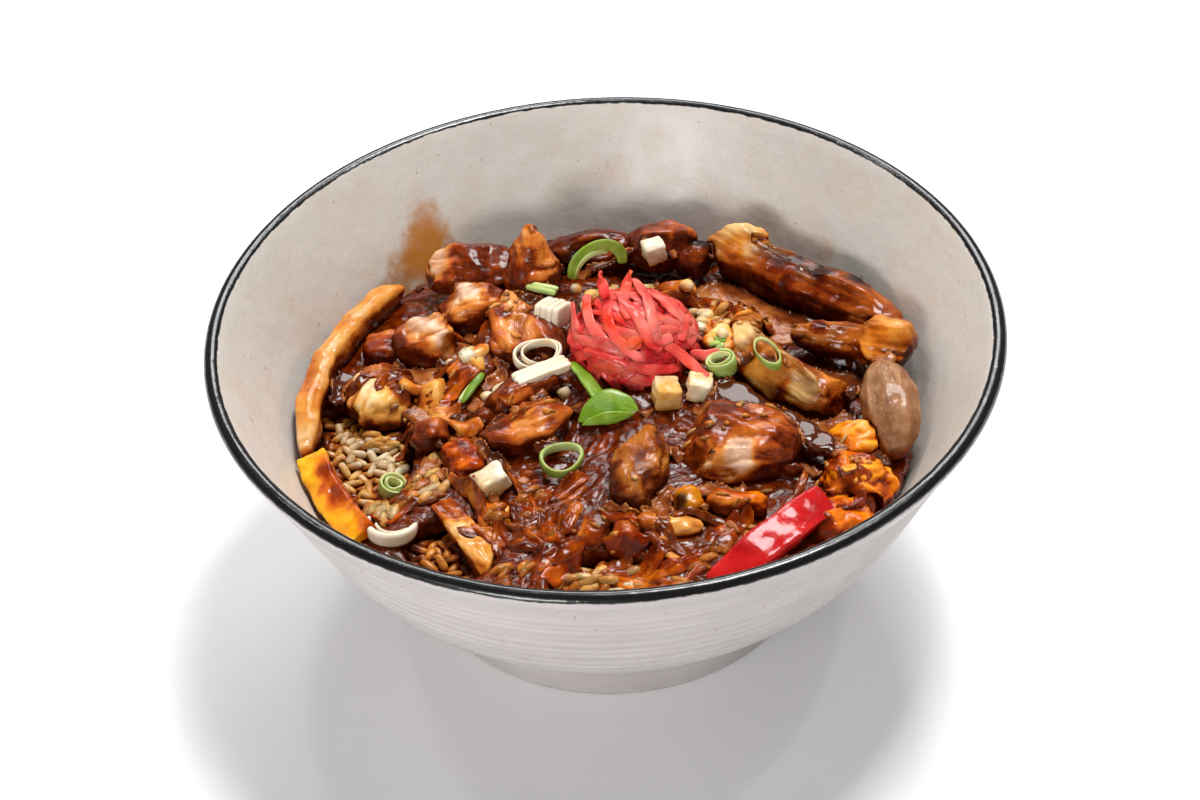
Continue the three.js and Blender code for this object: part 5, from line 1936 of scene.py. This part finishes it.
@dataclass
class Spread(Strewn):
    """Grains, dice, crumbs and bits that lie on the food."""

    sink: float = 0.25
    accent: float = 0.0
    sides: int = 8
    steps: int = 14
    taper: float = 0.4
    squareness: float = 0.7
    relief: float = 0.12
    avoid: tuple[str, ...] = (*CLEAN, "mushroom", "onion", "chicken", "corn")

    def strand(self, ground: Ground, index: int) -> Strand | None:
        """Returns one strip laid on the food, or None where the food is too steep for it.

        Args:
            ground: The food below.
            index: The strip's number.

        Returns:
            The strip.
        """
        item, x, y, turn, bow, length, width = self.start(index)
        step, places = length / 6, []
        x, y = x - 0.5 * length * math.cos(turn), y - 0.5 * length * math.sin(turn)
        for number in range(7):
            places.append((x, y))
            angle = turn + bow * (number / 6 - 0.5)
            x, y = x + step * math.cos(angle), y + step * math.sin(angle)
        if max(math.hypot(*place) for place in places) > 80:
            return None
        below = [ground.top(*place) for place in places]
        if any(spot[2].startswith(self.avoid) for spot in below):
            return None
        heights = np.array([spot[0] for spot in below])
        if np.abs(np.diff(heights)).max() > 0.9 * step + 1.2:
            return None
        soft = np.convolve(np.concatenate([heights[:1], heights, heights[-1:]]), [0.25, 0.5, 0.25], "valid")
        level = np.maximum(soft, heights - 0.3) + self.thickness / 2 - self.sink
        normal = below[3][1]
        path = [(place[0], place[1], float(height)) for place, height in zip(places, level)]
        return Strand(path, width, self.thickness, up=tuple(normal), taper=self.taper, steps=self.steps,
                      sides=self.sides, twist=60 * (chance(item, 67) - 0.5), sauce=self.sauce,
                      accent=self.accent * chance(item, 68), tone=chance(item, 69), rough=0.07 * width,
                      squareness=self.squareness)

    def make(self, ground: Ground) -> Piece:
        """Builds the strips.

        Args:
            ground: The food below.

        Returns:
            The finished piece.
        """
        shape = blank()
        for index in range(self.count):
            strand = self.strand(ground, index)
            if strand:
                strand.add(shape)
        return close_up(self.name, shape, self.finish, relief=self.relief, variety=0.4)


@dataclass
class Shreds(Strewn):
    """Thin soft strips that drape over what lies below them."""

    swing: float = 1.5
    rows: int = 18
    columns: int = 6
    avoid: tuple[str, ...] = (*CLEAN, *CUBES_AND_HOOK, "mushroom", "onion_arc", "chicken", "corn")

    def add(self, shape: Shape, ground: Ground, soft: Array, index: int) -> None:
        """Adds one strip.

        Args:
            shape: The bmesh to add to.
            ground: The food below.
            soft: Its heights, with the small gaps bridged.
            index: The strip's number.
        """
        item, x, y, turn, bow, length, width = self.start(index)
        shares = (-0.45, -0.2, 0, 0.2, 0.45)
        ends = [(x + share * length * math.cos(turn), y + share * length * math.sin(turn))
                for share in shares]
        if any(math.hypot(*end) > 77 or ground.top(*end)[2].startswith(self.avoid) for end in ends):
            return
        levels = np.array([ground.top(*end)[0] for end in ends])
        if np.abs(np.diff(levels)).max() > 0.2 * length + 0.4:
            return
        made = bmesh.ops.create_grid(shape, x_segments=self.rows, y_segments=self.columns, size=1)
        old = np.array([vert.co[:] for vert in made["verts"]])
        share, side = old[:, 0], old[:, 1]
        places = np.stack([share * length / 7, side * 0.6 + item, np.full(len(share), item)], axis=1)
        end = np.sqrt(np.clip(1 - share**4, 0.0, 1))
        half = 0.5 * width * (0.15 + 0.85 * end) * (1 + 0.25 * cell_noise(places[:, [0, 2, 2]], item))
        angle = turn + bow * share
        along = 0.5 * length * share + 0.5 * cell_noise(places * 1.7, item + 1)
        wander = 0.18 * length * bow * (share**2 - 0.3)
        across = side * half + wander + 0.5 * cell_noise(places * 2.3, item + 2)
        px = x + along * np.cos(turn) - across * np.sin(angle)
        py = y + along * np.sin(turn) + across * np.cos(angle)
        spots = np.stack([px, py, np.zeros(len(px))], axis=1)
        low = soft[ground.cell(spots)]
        rim = np.maximum(np.abs(side), np.abs(share))
        dome = np.sqrt(np.clip(1 - rim**2, 0, 1))
        fold = cell_noise(np.stack([along / 5, across / 1.1, np.full(len(px), item)], axis=1), 3.0)
        rise = self.thickness * (0.15 + 0.75 * dome) + (0.3 + 0.5 * dome) * self.thickness * fold
        layers = shape.verts.layers
        lie, sauce, tone = layers.float_vector["lie"], layers.float["sauce"], layers.float["tone"]
        shade = chance(item, 69)
        for vert, place, height, reach, over in zip(made["verts"], spots, low + rise, along, across):
            vert.co = (place[0], place[1], height)
            vert[lie], vert[sauce], vert[tone] = (reach, over, item * 3), self.sauce, shade
        faces = {face for vert in made["verts"] for face in vert.link_faces}
        bmesh.ops.solidify(shape, geom=list(faces), thickness=0.7)

    def make(self, ground: Ground) -> Piece:
        """Builds the strips.

        Args:
            ground: The food below.

        Returns:
            The finished piece.
        """
        shape = blank()
        soft = spread_out(ground.rolled(2.5), 5)
        for index in range(self.count):
            self.add(shape, ground, soft, index)
        piece = close_up(self.name, shape, self.finish, relief=0.15, variety=0.45)
        soak(piece, ground)
        return piece


ALL_OVER = ((-45, 0, 14, 60), (-25, -35, 12, 20), (5, -48, 12, -30), (35, -45, 12, 30), (60, -30, 9, 70),
            (-30, 30, 12, 10), (30, -15, 14, 0), (-20, 0, 12, 30), (33, 38, 9, 50), (5, 45, 9, 0),
            (45, 25, 10, -40))
SPREADS: tuple[Strewn, ...] = (
    Shreds("onion_threads", ONION_THREAD, 120, (12, 26), (1.8, 4.4), 0.55,
           ((-24, -48, 8, -60), (-8, -50, 9, 25), (22, -50, 8, -30), (32, -44, 6, 10), (48, -34, 6, 40),
            (4, -60, 8, 0), (-52, -36, 6, -30), (-48, -6, 7, 70), (-40, 16, 7, 40), (-30, -32, 7, -50),
            (-12, -38, 8, 10), (38, 34, 6, 60), (20, 36, 5, 20), (-52, 34, 6, 60), (-14, -8, 6, 30),
            (-60, 12, 7, 70), (-57, 17, 6, 30), (-24, -38, 7, 70), (12, -38, 6, 0)), sauce=0.8, curl=1.6),
    Shreds("onion_sheets", ONION, 26, (8, 14), (4, 7), 1.1,
           ((-44, 12, 6, 40), (-34, 22, 5, 70), (-28, 2, 5, 20), (-50, -5, 5, 60), (-40, -4, 6, 10),
            (34, 38, 5, 0), (25, 32, 4, 60), (38, 28, 4, 30)), sauce=0.4, seed=3000, curl=1.0),
    Shreds("egg_threads", EGG_THREAD, 60, (9, 18), (1.6, 4.4), 0.7,
           ((-14, -52, 8, 60), (-20, -42, 6, -70), (56, -42, 8, 20), (62, -32, 7, -40), (12, -60, 7, 10),
            (-54, -34, 6, 40), (36, 28, 7, 0), (-40, 2, 8, 30), (0, -46, 8, -20), (30, -54, 7, 40)),
           sauce=0.7, seed=400, curl=1.6),
    Spread("loose_rice", RICE, 120, (4.6, 5.6), (2.1, 2.6), 2.3,
           ((-50, -22, 9, 60), (-60, 0, 6, 20), (-2, -60, 9, 20), (34, 34, 5, 0), (-58, -32, 6, 80),
            (2, 42, 5, 20), (-28, 14, 6, 0)), sauce=0.38, curl=0.3, sink=0.9, steps=5, seed=800, taper=0.3),
    Spread("sauced_rice", RICE, 150, (4.4, 5.4), (2.0, 2.5), 2.2,
           ((-30, -54, 10, 30), (-8, -54, 12, 60), (12, -58, 10, 0), (-50, -26, 8, 20), (28, -56, 8, 40),
            (-24, -38, 8, 0), (-42, -6, 6, 60), (36, 34, 6, 30)), sauce=0.7, curl=0.3, sink=1.2, steps=5,
           seed=2400, taper=0.3),
    Spread("onion_dice", LEEK, 44, (2.6, 4.6), (2.4, 3.8), 2.6,
           ((30, 30, 5, 20), (24, 36, 5, 50), (34, 20, 4, 0), (14, -4, 4, 10), (24, 2, 4, 30), (30, 8, 3, 0),
            (-8, 44, 6, 20), (8, 48, 6, 40), (-38, 20, 5, 30), (-30, 8, 5, 60), (-10, -2, 5, 30)), sauce=0.25,
           curl=0.2, sink=0.9, steps=4, seed=2000, taper=0.15, relief=0.15, squareness=0.45,
           avoid=(*CLEAN, "mushroom", "onion_cube", "chicken")),
    Spread("meat_crumbs", CRUMB, 170, (1.2, 3.2), (0.8, 1.8), 1.0, ALL_OVER, sauce=0.4, sink=0.2, sides=6,
           steps=3, seed=1200, accent=0.8, avoid=(*CLEAN, "mushroom_cap")),
    Spread("green_bits", GREEN, 16, (3, 7), (1.0, 2.2), 0.7,
           ((2, 44, 5, 0), (9, 44, 4, 60), (-18, 44, 5, 10), (29, 14, 3, 0), (-30, -24, 5, 40),
            (-38, 12, 4, 20)), sauce=0.0, seed=1600, accent=0.8, steps=8,
           avoid=(*CLEAN, *CUBES_AND_HOOK, "mushroom", "chicken_front", "chicken_tall", "chicken_back",
                  "chicken_mid", "corn")),
)


@dataclass
class Studio:
    """The pale floor, the soft lights and the camera at the photograph's angle."""

    eye: Point = (0.0, -566.433, 533.071)
    forward: Point = (-0.00269968, 0.76511564, -0.64388724)
    right: Point = (0.99885282, -0.02872105, -0.0383165)
    up: Point = (0.04780967, 0.64325202, 0.76416037)
    lens: float = 84.82

    def lamp(self, name: str, direction: Point, distance: float, size: Place, power: float) -> None:
        """Adds a softbox that faces the bowl.

        Args:
            name: Its name.
            direction: From the bowl to the lamp.
            distance: In millimetres.
            size: Its width and height in millimetres.
            power: In watts.
        """
        data = bpy.data.lights.new(name, "AREA")
        data.shape = "RECTANGLE"
        data.size, data.size_y = size[0] * MM, size[1] * MM
        data.energy = power
        lamp = bpy.data.objects.new(name, data)
        bpy.context.scene.collection.objects.link(lamp)
        away = Vector(direction).normalized()
        lamp.location = Vector((0, 0, 0.05)) + away * distance * MM
        lamp.rotation_euler = away.to_track_quat("Z", "Y").to_euler()

    def make(self) -> None:
        """Builds the studio."""
        shape = bmesh.new()
        bmesh.ops.create_grid(shape, x_segments=2, y_segments=2, size=2500)
        floor = object_of("floor", mesh_of("floor", shape))
        recipe = Recipe("pale_floor")
        grain = recipe.noise(recipe.where(), 40, 3)
        tone = recipe.blend(recipe.between(grain, 0.3, 0.7), (0.93, 0.93, 0.93), (0.95, 0.95, 0.95))
        floor.data.materials.append(recipe.finish(Base_Color=tone, Roughness=0.9))
        floor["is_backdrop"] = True
        world = bpy.data.worlds.new("studio")
        bpy.context.scene.world = world
        world.use_nodes = True
        backdrop = world.node_tree.nodes["Background"]
        backdrop.inputs["Color"].default_value = (1, 1, 1, 1)
        backdrop.inputs["Strength"].default_value = 0.14
        self.lamp("overhead_softbox", (0.2, 0.3, 1), 1800, (520, 520), 33)
        self.lamp("back_softbox", (0.02, 0.765, 0.68), 1400, (600, 330), 7.5)
        self.lamp("small_lamp", (-0.3, 0.5, 0.9), 1400, (70, 70), 1.6)
        self.lamp("back_glint", (0.3, 0.62, 0.72), 1400, (90, 60), 1.5)
        self.lamp("left_glint", (-0.55, 0.3, 0.8), 1400, (60, 90), 1.2)
        self.lamp("right_glint", (0.5, 0.1, 0.86), 1400, (80, 50), 1.2)
        self.lamp("front_fill", (-0.6, -1, 0.5), 2000, (1200, 700), 4.5)
        self.lamp("front_left_softbox", (-0.36, -0.86, 0.27), 1200, (430, 230), 7.5)
        data = bpy.data.cameras.new("photo_angle")
        data.lens, data.sensor_width = self.lens, 36
        data.clip_start, data.clip_end = 0.05, 20
        camera = bpy.data.objects.new("photo_angle", data)
        bpy.context.scene.collection.objects.link(camera)
        turn = Matrix((self.right, self.up, tuple(-value for value in self.forward))).transposed().to_4x4()
        camera.matrix_world = Matrix.Translation(Vector(self.eye) * MM) @ turn
        bpy.context.scene.camera = camera
        bpy.context.scene.view_settings.view_transform = "Standard"


def main() -> None:
    """Builds every piece in order."""
    Studio().make()
    StonewareBowl().make()
    made = [RicePockets().make()]
    made += [topping.make() for topping in TOPPINGS]
    made += [garnish.make() for garnish in GARNISHES]
    made.append(GingerHeap().make())
    ground = Ground(made)
    for piece in made:
        if not piece.name.startswith((*CLEAN, *CUBES_AND_HOOK)):
            soak(piece, ground)
    for spread in SPREADS:
        made.append(spread.make(ground))
    SauceFilm().make(Ground(made))
    sizes = [[[float(value) for value in corner] for corner in box] for box in (CAD_BOX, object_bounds())]


if __name__ == "__main__":
    main()
